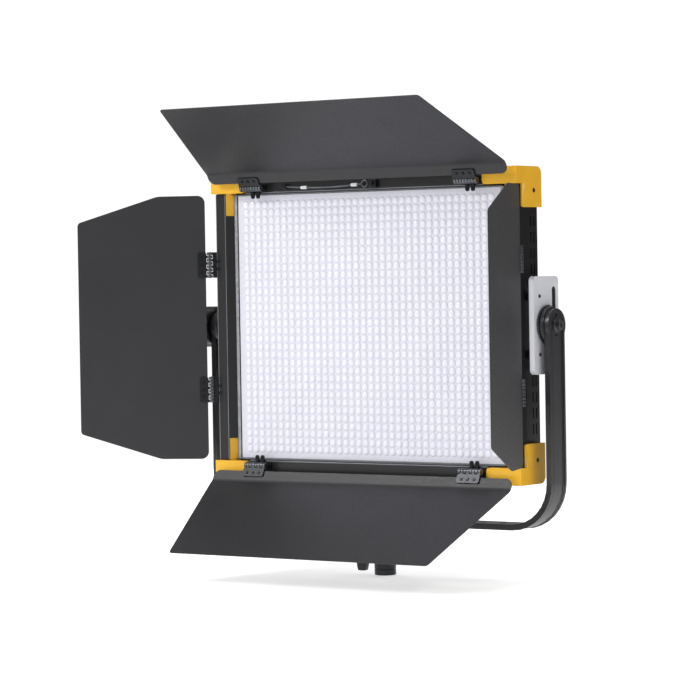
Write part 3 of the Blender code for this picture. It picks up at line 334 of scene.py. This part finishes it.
def makeLensPanel():
    low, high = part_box("lens_panel")
    bm = bmesh.new()
    box(bm, low, high)
    bevelSharp(bm, lens["edge"], 2)
    dome = bmesh.new()
    bmesh.ops.create_uvsphere(dome, u_segments=12, v_segments=8, radius=lens["radius"])
    everything = dome.verts[:] + dome.edges[:] + dome.faces[:]
    bmesh.ops.bisect_plane(dome, geom=everything, dist=1e-7, plane_co=(0, 0, 0), plane_no=(0, 0, -1),
                           clear_outer=True)
    bmesh.ops.contextual_create(dome, geom=[e for e in dome.edges if e.is_boundary])
    bmesh.ops.scale(dome, vec=(1, 1, lens["rise"] / lens["radius"]), verts=dome.verts)
    bmesh.ops.rotate(dome, cent=(0, 0, 0), matrix=Matrix.Rotation(pi / 2, 3, "X"), verts=dome.verts)
    start = Vector((-(lens["columns"] - 1) / 2 * lens["pitch"], low[1] + lens["sunk"],
                    tiltHeight - (lens["rows"] - 1) / 2 * lens["pitch"]))
    bmesh.ops.translate(dome, vec=start, verts=dome.verts)
    first = dome.verts[:] + dome.edges[:] + dome.faces[:]
    for k in range(1, lens["columns"]):
        copy = bmesh.ops.duplicate(dome, geom=first)["geom"]
        bmesh.ops.translate(dome, vec=(k * lens["pitch"], 0, 0), verts=vertsOf(copy))
    first = dome.verts[:] + dome.edges[:] + dome.faces[:]
    for k in range(1, lens["rows"]):
        copy = bmesh.ops.duplicate(dome, geom=first)["geom"]
        bmesh.ops.translate(dome, vec=(0, 0, k * lens["pitch"]), verts=vertsOf(copy))
    addTo(bm, dome)
    makePiece("lensSheet", bm, lensAcrylic, "head", ["lens_panel"])


makeLensPanel()
print("lens sheet made")


# lip highlight: a pale ring on the bezel's lip, wider at the sides than above and below, painted as the
# highlight the lip catches
lipHighlight = {"wide": (0.0044, 0.0007), "gap": (0.0006, 0.0003), "rise": 0.0016, "back": 0.0008, "edge": 0.0002}


def ringOf(bm, profile):
    # each (half width, half height, depth) point of the profile becomes a rectangle, bridged to the next
    loops, signs = [], ((-1, -1), (1, -1), (1, 1), (-1, 1))
    for halfX, halfZ, y in profile:
        verts = [bm.verts.new((sx * halfX, y, tiltHeight + sz * halfZ)) for sx, sz in signs]
        loops.append([bm.edges.new((verts[k], verts[(k + 1) % 4])) for k in range(4)])
    for one, two in zip(loops, loops[1:] + loops[:1]):
        bmesh.ops.bridge_loops(bm, edges=one + two)


def makeLipHighlight():
    low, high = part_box("lens_panel")
    inX, inZ = high[0] + lipHighlight["gap"][0], (high[2] - low[2]) / 2 + lipHighlight["gap"][1]
    outX, outZ = inX + lipHighlight["wide"][0], inZ + lipHighlight["wide"][1]
    front, back = low[1] - lipHighlight["rise"], low[1] - lipHighlight["back"]
    bm = bmesh.new()
    ringOf(bm, [(outX, outZ, back), (outX, outZ, front), (inX, inZ, front), (inX, inZ, back)])
    bevelSharp(bm, lipHighlight["edge"], 2, 25)
    makePiece("lensLipHighlight", bm, lipHighlightPaint, "head", sharp=30)


makeLipHighlight()


# rail highlights: thin pale strips along both long edges of each rail's face, painted highlights for the light
# on those edges
railHighlight = {"wide": 0.0011, "rise": 0.0004, "short": 0.0006, "inset": 0.0002, "sunk": 0.0003, "round": 0.0003}


def makeRailHighlights(rail):
    low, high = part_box(rail)
    along = 0 if high[0] - low[0] > high[2] - low[2] else 2
    across = 2 - along
    bm = bmesh.new()
    for start in (low[across] + railHighlight["inset"], high[across] - railHighlight["inset"] - railHighlight["wide"]):
        near, far = [0, low[1] - railHighlight["rise"], 0], [0, low[1] + railHighlight["sunk"], 0]
        near[along], far[along] = low[along] + railHighlight["short"], high[along] - railHighlight["short"]
        near[across], far[across] = start, start + railHighlight["wide"]
        strip = shape(box, near, far)
        bevelSharp(strip, railHighlight["round"], 3)
        addTo(bm, strip)
    # the strips' pale colour is a painted highlight
    makePiece(f"{rail}_edges", bm, railHighlightPaint, "head", sharp=60)


for rail in ("door_rail_top", "door_rail_bottom", "door_rail_left", "door_rail_right"):
    makeRailHighlights(rail)
print("trim and rail edges made")


# barn-door leaves: place of each hinge axis, the way across the panel, and how far it stands open
leaves = {
    "left": {"at": (-0.241, -0.0467, 0.320), "across": (1, 0, 0), "open": 156, "reach": 0.082},
    "right": {"at": (0.241, -0.0467, 0.320), "across": (-1, 0, 0), "open": 110, "reach": 0.082},
    "top": {"at": (0, -0.0523, 0.500), "across": (0, 0, -1), "open": 119.2, "reach": 0.1665},
    "bottom": {"at": (0, -0.0523, 0.140), "across": (0, 0, 1), "open": 121, "reach": 0.1665},
}
sideLeaf = {"root": 0.0055, "rootHalf": 0.1735, "shoulder": 0.070, "tip": 0.180, "tipHalf": 0.140}
crossLeaf = {"root": 0.008, "rootHalf": 0.231, "shoulder": 0.027, "tip": 0.182, "tipHalf": 0.197,
             "fold": 0.023, "angle": 35, "bend": 0.0016}
leafThick = 0.0012
leafRound = {"root": 0.010, "tip": 0.004, "edge": 0.0003}


def leafFrames(side):
    # the hinge's fixed frame and its turned one: X along the hinge, Y across the shut panel, Z to the front
    data = leaves[side]
    across, front = Vector(data["across"]), Vector((0, -1, 0))
    fixed = Matrix((across.cross(front), across, front)).transposed().to_4x4()
    fixed = Matrix.Translation(data["at"]) @ fixed
    return fixed, fixed @ Matrix.Rotation(radians(data["open"]), 4, "X")


def makeLeaf(side):
    cross = side in ("top", "bottom")
    data = crossLeaf if cross else sideLeaf
    corners = [(-data["rootHalf"], data["root"]), (data["rootHalf"], data["root"]),
               (data["rootHalf"], data["shoulder"]), (data["tipHalf"], data["tip"]),
               (-data["tipHalf"], data["tip"]), (-data["rootHalf"], data["shoulder"])]
    bm = bmesh.new()
    face = bm.faces.new([bm.verts.new((x, y, 0)) for x, y in corners])
    bm.normal_update()
    rootCorners = [v for v in face.verts if v.co.y < data["root"] + 0.001]
    bmesh.ops.bevel(bm, geom=rootCorners, offset=leafRound["root"], segments=8, profile=0.5,
                    affect="VERTICES", material=-1)
    others = [v for v in bm.verts if v.co.y > data["shoulder"] - 0.001]
    bmesh.ops.bevel(bm, geom=others, offset=leafRound["tip"], segments=5, profile=0.5, affect="VERTICES",
                    material=-1)
    up = bmesh.ops.extrude_face_region(bm, geom=bm.faces[:])["geom"]
    bmesh.ops.translate(bm, vec=(0, 0, leafThick), verts=vertsOf(up))
    bmesh.ops.translate(bm, vec=(0, 0, -leafThick / 2), verts=bm.verts)
    bmesh.ops.recalc_face_normals(bm, faces=bm.faces)
    bevelSharp(bm, leafRound["edge"], 2, 60)
    if cross:
        lines = [data["fold"] + (k - 2) * data["bend"] for k in range(5)]
        for line in lines:
            everything = bm.verts[:] + bm.edges[:] + bm.faces[:]
            bmesh.ops.bisect_plane(bm, geom=everything, dist=1e-7, plane_co=(0, line, 0), plane_no=(0, 1, 0))
        beyond = [[v for v in bm.verts if v.co.y < line - 1e-5] for line in lines]
        for line, verts in zip(lines, beyond):
            turn = Matrix.Rotation(radians(data["angle"] / len(lines)), 3, "X")
            bmesh.ops.rotate(bm, cent=(0, line, 0), matrix=turn, verts=verts)
        back = radians(data["angle"])
        shift = (0, data["fold"] * (cos(back) - 1), data["fold"] * sin(back))
        bmesh.ops.translate(bm, vec=shift, verts=bm.verts)
    bm.transform(leafFrames(side)[1])
    makePiece(f"{side}Leaf", bm, leafPaint, f"{side}_door", [f"{side}_leaf"], 30)


for side in leaves:
    makeLeaf(side)
print("leaves made")


# hinges: rolled knuckles on one pin, a plate screwed to the leaf and a clip over the rail
hinge = {"half": 0.01685, "knuckles": 8, "gap": 0.00045, "barrel": 0.0038, "pin": 0.0015, "plateNear": 0.0040,
         "plateFar": 0.0160, "plate": 0.0015, "plateRound": 0.0028, "screw": 0.0021, "screwRow": 0.0110,
         "screws": (-0.0095, 0.0, 0.0095)}
# the clips' walls as two (Y, Z) corners: over a top or bottom rail, and bent round a side rail
crossClip = {"web": ((-0.0009, -0.0112), (0.0009, -0.0030)), "foot": ((-0.0060, -0.0115), (0.0045, -0.0100)),
             "tab": ((0.0030, -0.0110), (0.0105, -0.0080)), "tabEnd": (0.0105, -0.0095), "tabHigh": 0.0030,
             "tabs": (-0.0042, 0.0042), "tabHalf": 0.0025}
sideClip = {"web": ((0.0041, -0.0006), (0.0088, 0.0006)), "finger": ((0.0030, -0.0005), (0.0050, 0.0005)),
            "wall": ((0.0052, -0.0187), (0.0067, -0.0056)), "tab": ((0.0058, -0.0066), (0.0120, -0.0050)),
            "tabs": (-0.0048, 0.0048), "tabHalf": 0.0019, "turn": -45}


def wall(bm, left, right, corners):
    low, high = corners
    box(bm, (left, *low), (right, *high))


def knuckleSpans(first):
    # where every second knuckle starts and ends along the hinge
    pitch = (2 * hinge["half"] + hinge["gap"]) / hinge["knuckles"]
    starts = [-hinge["half"] + k * pitch for k in range(first, hinge["knuckles"], 2)]
    return [(start, start + pitch - hinge["gap"]) for start in starts]


def knuckleRods(bm, first):
    for start, end in knuckleSpans(first):
        ring = shape(rod, "X", ((start + end) / 2, 0, 0), hinge["barrel"], end - start, 20)
        bevelSharp(ring, 0.0006, 2)
        addTo(bm, ring)


def panHead(bm, x, y, z, radius, down=1):
    # a pan-head screw with a round recess, its head on the -Z side when down is -1
    rise = radius * 0.55
    profile = [(0, 0), (radius, 0), (radius * 0.96, rise * 0.45), (radius * 0.72, rise),
               (radius * 0.36, rise), (radius * 0.34, rise * 0.3), (0, rise * 0.3)]
    turn = Matrix.Translation((x, y, z)) @ Matrix.Rotation(0 if down > 0 else pi, 4, "X")
    turnedSolid(bm, profile, turn, 16)


def makeHinge(side, label):
    cross = side in ("top", "bottom")
    at = leaves[side]["reach"] * (1 if label == "b" else -1)
    fixed, moving = leafFrames(side)
    slide = Matrix.Translation((at, 0, 0))
    half = hinge["half"]
    tilt = Matrix.Rotation(radians(crossLeaf["angle"] if cross else 0), 4, "X")

    ribs = bmesh.new()
    knuckleRods(ribs, 0)
    addTo(ribs, shape(rod, "X", (0, 0, 0), hinge["pin"], 2 * half + 0.0006, 12))
    ribs.transform(fixed @ slide)
    makePiece(f"{side}HingeBarrel_{label}", ribs, barrelSteel, "head")
    ribs = bmesh.new()
    knuckleRods(ribs, 1)
    ribs.transform(tilt)
    ribs.transform(moving @ slide)
    makePiece(f"{side}HingeKnuckles_{label}", ribs, barrelSteel, f"{side}_door")

    clip = bmesh.new()
    data = crossClip if cross else sideClip
    if cross:
        wall(clip, -half, half, data["web"])
        wall(clip, -half, half, data["foot"])
    else:
        web = shape(wall, -half, half, data["web"])
        for start, end in knuckleSpans(0):
            wall(web, start, end, data["finger"])
        addTo(clip, web, Matrix.Rotation(radians(data["turn"]), 4, "X"))
        wall(clip, -half, half, data["wall"])
    for x in data["tabs"]:
        if cross:
            addTo(clip, shape(rod, "Z", (x, *data["tabEnd"]), data["tabHalf"], data["tabHigh"], 16))
        wall(clip, x - data["tabHalf"], x + data["tabHalf"], data["tab"])
    bevelSharp(clip, 0.0004, 2)
    clip.transform(fixed @ slide)
    makePiece(f"{side}HingeClip_{label}", clip, blackSteel, "head",
              [f"{side}_hinge_base_{label}"])

    near, far, thick = hinge["plateNear"], hinge["plateFar"], hinge["plate"]
    under = -leafThick / 2 - 0.0003
    plate = bmesh.new()
    flatShape(plate, [(-half, near), (half, near), (half, far), (-half, far)], thick,
              hinge["plateRound"], 4)
    bmesh.ops.translate(plate, vec=(0, 0, under - thick / 2), verts=plate.verts)
    bevelSharp(plate, 0.0003, 2)
    for start, end in knuckleSpans(1):
        box(plate, (start, 0.0012, under - thick), (end, near + 0.001, under))
    for x in hinge["screws"]:
        panHead(plate, x, hinge["screwRow"], under - thick + 0.0001, hinge["screw"], -1)
    plate.transform(tilt)
    plate.transform(moving @ slide)
    makePiece(f"{side}HingePlate_{label}", plate, blackSteel, f"{side}_door",
              [f"{side}_hinge_plate_{label}"])


for side in leaves:
    for label in ("a", "b"):
        makeHinge(side, label)
print("hinges made")


# tilt knob: a scalloped nylon grip over a turned hub
tiltKnob = {"radius": 0.027, "deep": 0.020, "lobes": 8, "scallop": 0.0024, "edge": 0.0022,
            "rim": 0.011, "dishEdge": 0.0012, "dish": 0.0015, "hub": 0.012, "hubHigh": 0.0016, "screw": 0.005}


def makeTiltKnob():
    low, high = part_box("tilt_knob")
    inner = low[0] + tiltKnob["deep"]
    bm = bmesh.new()
    bmesh.ops.create_circle(bm, cap_ends=True, segments=96, radius=tiltKnob["radius"])
    for v in bm.verts:
        wave = 0.5 - 0.5 * cos(tiltKnob["lobes"] * Vector((1, 0)).angle_signed(v.co.xy))
        v.co.xy *= 1 - tiltKnob["scallop"] * wave ** 2 / tiltKnob["radius"]
    up = bmesh.ops.extrude_face_region(bm, geom=bm.faces[:])["geom"]
    bmesh.ops.translate(bm, vec=(0, 0, tiltKnob["deep"]), verts=vertsOf(up))
    bmesh.ops.recalc_face_normals(bm, faces=bm.faces)
    bevelSharp(bm, tiltKnob["edge"], 4, 60)
    top = max(bm.faces, key=lambda f: f.calc_center_median().z)
    bmesh.ops.inset_region(bm, faces=[top], thickness=tiltKnob["rim"], depth=0)
    bmesh.ops.inset_region(bm, faces=[top], thickness=tiltKnob["dishEdge"], depth=-tiltKnob["dish"])
    bm.transform(Matrix.Translation((inner, 0, tiltHeight)) @ Matrix.Rotation(-pi / 2, 4, "Y"))
    rod(bm, "X", (inner + 0.001, 0, tiltHeight), tiltKnob["hub"], tiltKnob["hubHigh"], 32)
    rod(bm, "X", ((inner + high[0]) / 2, 0, tiltHeight), tiltKnob["screw"], high[0] - inner, 24)
    makePiece("tiltKnobGrip", bm, knobPlastic, "tilt_knob", ["tilt_knob"], 40)


makeTiltKnob()


# stand spigot: turned bar with a collar under the yoke, a rim at its foot and the blind socket for the stud
spigot = {"radius": 0.014, "bore": 0.0082, "depth": 0.036, "collar": 0.0175, "collarHigh": 0.008,
          "edge": 0.0008, "topEdge": 0.0006, "groove": (0.0070, 0.0084), "grooveDeep": 0.0004,
          "bolt": 0.005, "yokeBar": 0.0075, "nut": 0.009, "nutHigh": 0.007}


def makeSpigot():
    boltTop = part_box("stand_spigot")[1][2]
    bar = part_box("yoke")[0][2]
    top = bar - 0.0003
    r, bore, collar, edge = (spigot[key] for key in ("radius", "bore", "collar", "edge"))
    under, lip = top - spigot["collarHigh"], spigot["topEdge"]
    start, end = spigot["groove"]
    deep = spigot["grooveDeep"]
    waist = r - deep
    profile = [(0, spigot["depth"]), (bore, spigot["depth"]), (bore, edge), (bore + edge, 0), (r - edge, 0),
               (r, edge), (r, start), (waist, start + deep), (waist, end - deep), (r, end),
               (r, under), (collar - edge, under), (collar, under + edge), (collar, top - lip),
               (collar - lip, top), (0, top)]
    bm = bmesh.new()
    turnedSolid(bm, profile, Matrix(), 64)
    rod(bm, "Z", (0, 0, (top + boltTop) / 2), spigot["bolt"], boltTop - top - 0.0005, 24)
    nutMiddle = bar + spigot["yokeBar"] + 0.0003 + spigot["nutHigh"] / 2
    nut = shape(rod, "Z", (0, 0, nutMiddle), spigot["nut"], spigot["nutHigh"], 6)
    bevelSharp(nut, 0.0005, 2)
    addTo(bm, nut)
    makePiece("spigotBar", bm, darkNickel, "stand", ["stand_spigot"])


makeSpigot()


# tee handle: steel screw in a moulded hub with two tapered wings
teeHandle = {"wing": 0.023, "root": 0.012, "thick": 0.009, "deep": 0.016, "tip": (0.0025, 0.013),
             "round": 0.0016, "edge": 0.0014, "hub": 0.0075, "hubLong": 0.016, "hubAt": 0.017,
             "screw": 0.004, "screwLong": 0.024, "screwAt": 0.022}


def makeTeeHandle():
    low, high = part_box("tee_handle")
    middle = (low[2] + high[2]) / 2
    bm = bmesh.new()
    rod(bm, "X", (high[0] - teeHandle["screwAt"], 0, middle), teeHandle["screw"], teeHandle["screwLong"], 20)
    hub = shape(rod, "X", (low[0] + teeHandle["hubAt"], 0, middle), teeHandle["hub"], teeHandle["hubLong"], 32)
    bevelSharp(hub, 0.0008, 2)
    addTo(bm, hub)
    out, root, deep = teeHandle["wing"], teeHandle["root"], teeHandle["deep"]
    near, far = teeHandle["tip"]
    corners = [(0, -root), (0, root), (near, out), (far, out), (deep, root), (deep, -root), (far, -out),
               (near, -out)]
    grip = bmesh.new()
    flatShape(grip, corners, teeHandle["thick"], teeHandle["round"], 3)
    bmesh.ops.recalc_face_normals(grip, faces=grip.faces)
    bevelSharp(grip, teeHandle["edge"], 3)
    addTo(bm, grip, Matrix.Translation((low[0], 0, middle)) @ Matrix.Rotation(pi / 2, 4, "X"))
    makePiece("teeHandleGrip", bm, blackPlastic, "tee_handle", ["tee_handle"])


makeTeeHandle()
print("stand side made")


# rotary knobs on the back: ribbed skirt, sloped cap and a pointer line
rotaryKnob = {"radius": 0.0115, "high": 0.013, "ribs": 36, "valley": 0.965, "cap": (0.0108, 0.0096),
              "capHigh": 0.002, "line": (0.0040, 0.0094), "lineHalf": 0.0005}


def makeRotaryKnob(node, name):
    low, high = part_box(node)
    x, z = (low[0] + high[0]) / 2, (low[2] + high[2]) / 2
    top, capHigh, half = rotaryKnob["high"], rotaryKnob["capHigh"], rotaryKnob["lineHalf"]
    wide, narrow = rotaryKnob["cap"]
    start, end = rotaryKnob["line"]
    bm = bmesh.new()
    bmesh.ops.create_circle(bm, cap_ends=True, segments=rotaryKnob["ribs"] * 2, radius=rotaryKnob["radius"])
    for k, v in enumerate(list(bm.verts)):
        v.co *= 1 if k % 2 else rotaryKnob["valley"]
    up = bmesh.ops.extrude_face_region(bm, geom=bm.faces[:])["geom"]
    bmesh.ops.translate(bm, vec=(0, 0, top - capHigh), verts=vertsOf(up))
    addTo(bm, shape(rod, "Z", (0, 0, top - capHigh / 2), wide, capHigh, 48, narrow))
    box(bm, (-half, start, top - 0.0004), (half, end, top + 0.0002))
    bm.transform(Matrix.Translation((x, high[1] - top - 0.0002, z)) @ Matrix.Rotation(-pi / 2, 4, "X"))
    makePiece(name, bm, knobPlastic, node, [node], 30)


makeRotaryKnob("dimmer_knob", "dimmerKnobCap")
makeRotaryKnob("colour_knob", "colourKnobCap")


# screws: face-mounted pan heads on the back, the plates and the guards
screws = {
    "rear": {"radius": 0.0026, "x": (-0.215, -0.075, 0.075, 0.215), "z": (-0.178, 0.178), "sunk": 0.0001},
    "panel": {"radius": 0.0022, "x": (-0.034, 0.106), "z": (-0.089, 0.089), "sunk": 0.0001},
    "plate": {"radius": 0.0026, "y": -0.0165, "z": (-0.036, 0.036), "sunk": 0.0006},
    "guard": {"radius": 0.0030, "y": -0.0075, "z": (-0.1665, 0.1665), "sunk": 0.0009},
}


def makeScrews():
    rear = bmesh.new()
    outward = Matrix.Rotation(-pi / 2, 4, "X")
    for kind, node in (("rear", "rear_cover"), ("panel", "control_panel")):
        data, back = screws[kind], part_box(node)[1][1]
        for x in data["x"]:
            for z in data["z"]:
                head = shape(panHead, 0, 0, 0, data["radius"])
                addTo(rear, head, Matrix.Translation((x, back - data["sunk"], tiltHeight + z)) @ outward)
    makePiece("rearScrews", rear, blackSteel, "head")
    side = bmesh.new()
    for sx in (-1, 1):
        outward = Matrix.Rotation(sx * pi / 2, 4, "Y")
        for kind, node in (("plate", "yoke_plate_right"), ("guard", "corner_guard_top_right")):
            data, face = screws[kind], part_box(node)[1][0]
            for z in data["z"]:
                head = shape(panHead, 0, 0, 0, data["radius"])
                at = Matrix.Translation((sx * (face - data["sunk"]), data["y"], tiltHeight + z))
                addTo(side, head, at @ outward)
    makePiece("sideScrews", side, blackSteel, "head")


makeScrews()


# spacers: black sleeves on the four posts between the housing and each yoke plate
spacers = {"radius": 0.0054, "posts": ((-0.0165, 0.036), (0.0165, 0.0543)), "gap": 0.0004, "plate": 0.0072}


def makeSpacers():
    bm = bmesh.new()
    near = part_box("housing_frame")[1][0] + spacers["gap"]
    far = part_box("yoke_plate_right")[1][0] - spacers["plate"]
    for side in (-1, 1):
        for y, height in spacers["posts"]:
            for z in (-height, height):
                rod(bm, "X", (side * (near + far) / 2, y, tiltHeight + z), spacers["radius"], far - near, 28)
    bevelSharp(bm, 0.0004, 2)
    makePiece("plateSpacers", bm, blackPlastic, "head")


makeSpacers()


# slot shades: a black strip sunk in the slot of each yoke plate, painted shade for the dark inside of the slot
slotShade = {"wide": 0.0083, "tall": 0.0958, "thick": 0.003, "sunk": 0.0004, "y": 0.017}


def makeSlotShades():
    bm = bmesh.new()
    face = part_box("yoke_plate_right")[1][0]
    w, t = slotShade["wide"] / 2, slotShade["tall"] / 2
    for side in (-1, 1):
        strip = bmesh.new()
        flatShape(strip, [(-t, -w), (t, -w), (t, w), (-t, w)], slotShade["thick"], w - 0.0001, 8)
        x = side * (face - slotShade["sunk"] - slotShade["thick"] / 2)
        addTo(bm, strip, Matrix.Translation((x, slotShade["y"], tiltHeight)) @ Matrix.Rotation(pi / 2, 4, "Y"))
    makePiece("slotShadeStrips", bm, blackPlastic, "head")


makeSlotShades()


# groove shadows: flat dark strips in the corners of the yoke's channel, down both arms and under the bar,
# painted shadow for the shade in the channel's undercut
groove = {"y": 0.0119, "wide": 0.0030, "thick": 0.0002, "out": 0.26212, "foot": 0.0664, "bend": 0.0581,
          "high": 0.316, "steps": 16}


def makeGrooveShadows():
    out, foot, bend = groove["out"], groove["foot"], groove["bend"]
    line = [Vector((out, 0, groove["high"]))]
    for k in range(groove["steps"] + 1):
        turn = pi / 2 * k / groove["steps"]
        line.append(Vector((out - bend * (1 - cos(turn)), 0, foot + bend * (1 - sin(turn)))))
    line += [Vector((-v.x, 0, v.z)) for v in reversed(line)]
    bm = bmesh.new()
    for y in (-groove["y"], groove["y"]):
        verts = [bm.verts.new(v + Vector((0, y - groove["wide"] / 2, 0))) for v in line]
        edges = [bm.edges.new(pair) for pair in zip(verts, verts[1:])]
        made = bmesh.ops.extrude_edge_only(bm, edges=edges)["geom"]
        bmesh.ops.translate(bm, vec=(0, groove["wide"], 0), verts=vertsOf(made))
    bmesh.ops.solidify(bm, geom=bm.faces[:], thickness=groove["thick"])
    makePiece("yokeGrooveShadows", bm, blackPlastic, "stand", sharp=60)


makeGrooveShadows()


# drum: the turned sleeve round the yoke's boss, between the toothed disc and the arm
drum = {"radius": 0.0232, "rim": 0.0008, "arm": 0.0070, "shift": 0.0004, "short": 0.0006}


def makeDrum():
    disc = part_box("tilt_disc_right")[1][0]
    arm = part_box("yoke_plate_right")[1][0] + drum["arm"]
    bm = bmesh.new()
    for side in (-1, 1):
        middle = side * (disc + arm + drum["shift"]) / 2
        sleeve = shape(rod, "X", (middle, 0, tiltHeight), drum["radius"], arm - disc - drum["short"], 64)
        bevelSharp(sleeve, drum["rim"], 3)
        addTo(bm, sleeve)
    makePiece("pivotDrums", bm, yokePaint, "stand")


makeDrum()
print("knobs, screws, spacers, liners, grooves and drums made")


# safety wire along the top rail: smooth steel with two white sleeves, an anchor block and a ring
safetyWire = {"start": -0.117, "end": 0.004, "height": 0.5015, "front": 0.004, "sag": 0.0028, "radius": 0.0011,
              "points": 25, "ring": 0.0042, "ringWire": 0.0010, "sleeves": (-0.087, -0.008), "sleeve": 0.0021,
              "sleeveLong": 0.009}


def makeSafetyWire():
    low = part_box("door_rail_top")[0]
    y, z = low[1] - safetyWire["front"], safetyWire["height"]
    span = safetyWire["end"] - safetyWire["start"]

    def onWire(x):
        share = (x - safetyWire["start"]) / span
        return Vector((x, y, z - safetyWire["sag"] * 4 * share * (1 - share)))

    bm = bmesh.new()
    count = safetyWire["points"]
    spots = [onWire(safetyWire["start"] + span * k / (count - 1)) for k in range(count)]
    made = bmesh.ops.create_circle(bm, cap_ends=True, segments=12, radius=safetyWire["radius"],
                                   matrix=Matrix.Translation(spots[0]) @ axisTurns["X"])
    face = made["verts"][0].link_faces[0]
    for one, two in zip(spots, spots[1:]):
        step = bmesh.ops.extrude_face_region(bm, geom=[face])["geom"]
        bmesh.ops.translate(bm, vec=two - one, verts=vertsOf(step))
        face = next(f for f in step if isinstance(f, bmesh.types.BMFace))
    inner = [f for f in bm.faces
             if len(f.verts) > 4 and 0 < f.calc_center_median().x - spots[0].x < span - 1e-4]
    bmesh.ops.delete(bm, geom=inner, context="FACES_ONLY")
    torus, wire = [], safetyWire["ringWire"]
    for k in range(13):
        angle = 2 * pi * k / 12
        torus.append((safetyWire["ring"] + wire * cos(angle), wire * sin(angle)))
    ring = bmesh.new()
    turnedSolid(ring, torus, Matrix.Translation((safetyWire["end"] + 0.004, y, z)) @ axisTurns["Y"], 28)
    addTo(bm, ring)
    makePiece("safetyWireStrand", bm, barrelSteel, "head", ["safety_wire"])
    start = safetyWire["start"]
    block = shape(box, (start - 0.005, low[1] - 0.006, z - 0.003), (start + 0.002, low[1] - 0.0003, z + 0.003))
    bevelSharp(block, 0.0006, 2)
    makePiece("wireAnchor", block, blackSteel, "head")
    sleeves = bmesh.new()
    for x in safetyWire["sleeves"]:
        sleeve = shape(rod, "X", onWire(x), safetyWire["sleeve"], safetyWire["sleeveLong"], 20)
        bevelSharp(sleeve, 0.0005, 2)
        addTo(sleeves, sleeve)
    makePiece("wireSleeves", sleeves, whiteSleeve, "head")


makeSafetyWire()
print("safety wire made")


# camera, floor and lights
camera = {"at": (2.16573, -3.12947, 0.38398), "azimuth": 35.30, "pitch": 1.42, "roll": -0.94, "lens": 152.51}


def makeCamera():
    a, e, r = (radians(camera[key]) for key in ("azimuth", "pitch", "roll"))
    forward = Vector((-sin(a) * cos(e), cos(a) * cos(e), -sin(e)))
    right = Vector((cos(a), sin(a), 0))
    up = right.cross(forward)
    right, up = right * cos(r) + up * sin(r), up * cos(r) - right * sin(r)
    data = bpy.data.cameras.new("camera")
    data.sensor_width = 36
    data.lens = camera["lens"]
    data.clip_end = 50
    viewer = bpy.data.objects.new("camera", data)
    viewer.matrix_world = Matrix.Translation(camera["at"]) @ Matrix((right, up, -forward)).transposed().to_4x4()
    bpy.context.scene.collection.objects.link(viewer)
    bpy.context.scene.camera = viewer


makeCamera()

studio = {"floor": 1.6, "floorGlow": 0.60, "dome": 0.60, "shade": 0.05, "backdrop": 1.05,
          "toward": (-0.75, -0.45, 0.50), "span": (-0.8, 0.9)}


def makeFloor():
    bm = bmesh.new()
    bmesh.ops.create_grid(bm, x_segments=1, y_segments=1, size=studio["floor"])
    mesh = bpy.data.meshes.new("floor")
    bm.to_mesh(mesh)
    bm.free()
    floor = bpy.data.objects.new("floor", mesh)
    floor.location.z = cadBounds[0][2] - 0.0005
    bpy.context.scene.collection.objects.link(floor)
    material = bpy.data.materials.new("paleFloor")
    material.use_nodes = True
    principled = material.node_tree.nodes["Principled BSDF"]
    principled.inputs["Base Color"].default_value = (0.9, 0.9, 0.9, 1)
    principled.inputs["Roughness"].default_value = 0.9
    principled.inputs["Emission Color"].default_value = (1, 1, 1, 1)
    principled.inputs["Emission Strength"].default_value = studio["floorGlow"]
    mesh.materials.append(material)


makeFloor()


def makeWorld():
    # white to the camera; as light it is a soft dome, brighter from the front left and above
    world = bpy.data.worlds.new("studio")
    world.use_nodes = True
    bpy.context.scene.world = world
    tree = world.node_tree
    for node in list(tree.nodes):
        tree.nodes.remove(node)
    direction = addNode(tree, "TexCoord", {}).outputs["Generated"]
    toLight = Vector(studio["toward"]).normalized()
    far, near = studio["span"]
    side = addNode(tree, "VectorMath", {"operation": "DOT_PRODUCT", 1: toLight}, {0: direction})
    level = addNode(tree, "MapRange", {"From Min": far, "From Max": near, "To Min": studio["shade"],
                                       "To Max": studio["dome"]}, {"Value": side.outputs["Value"]})
    dome = addNode(tree, "Background", {"Color": (1, 1, 1, 1)}, {"Strength": level.outputs["Result"]})
    plain = addNode(tree, "Background", {"Color": (1, 1, 1, 1), "Strength": studio["backdrop"]})
    ray = addNode(tree, "LightPath", {})
    mixed = addNode(tree, "MixShader", {}, {0: ray.outputs["Is Camera Ray"], 1: dome.outputs[0],
                                            2: plain.outputs[0]})
    addNode(tree, "OutputWorld", {}, {0: mixed.outputs[0]})


makeWorld()

lights = {
    "key": {"at": (-1.8, -2.5, 2.3), "size": 1.0, "power": 46},
    "top": {"at": (0.3, -0.1, 2.6), "size": 0.9, "power": 12},
    "edgeRight": {"at": (2.9, -1.7, 0.9), "size": 0.40, "power": 2},
    "edgeLeft": {"at": (-2.6, 1.7, 1.0), "size": 0.6, "power": 14},
    "side": {"at": (2.3, 0.2, 2.3), "size": 0.7, "power": 13},
    "back": {"at": (0.3, 2.6, 1.9), "size": 1.0, "power": 9},
}


def makeLight(name):
    data = bpy.data.lights.new(name, "AREA")
    data.shape = "DISK"
    data.size = lights[name]["size"]
    data.energy = lights[name]["power"]
    lamp = bpy.data.objects.new(name, data)
    lamp.location = lights[name]["at"]
    target = Vector((0, 0, tiltHeight))
    lamp.rotation_euler = (target - lamp.location).to_track_quat("-Z", "Y").to_euler()
    lamp.visible_camera = False
    bpy.context.scene.collection.objects.link(lamp)


for name in lights:
    makeLight(name)

view = bpy.context.scene.view_settings
view.view_transform = "Standard"
view.look = "None"
print("camera, floor and lights made")
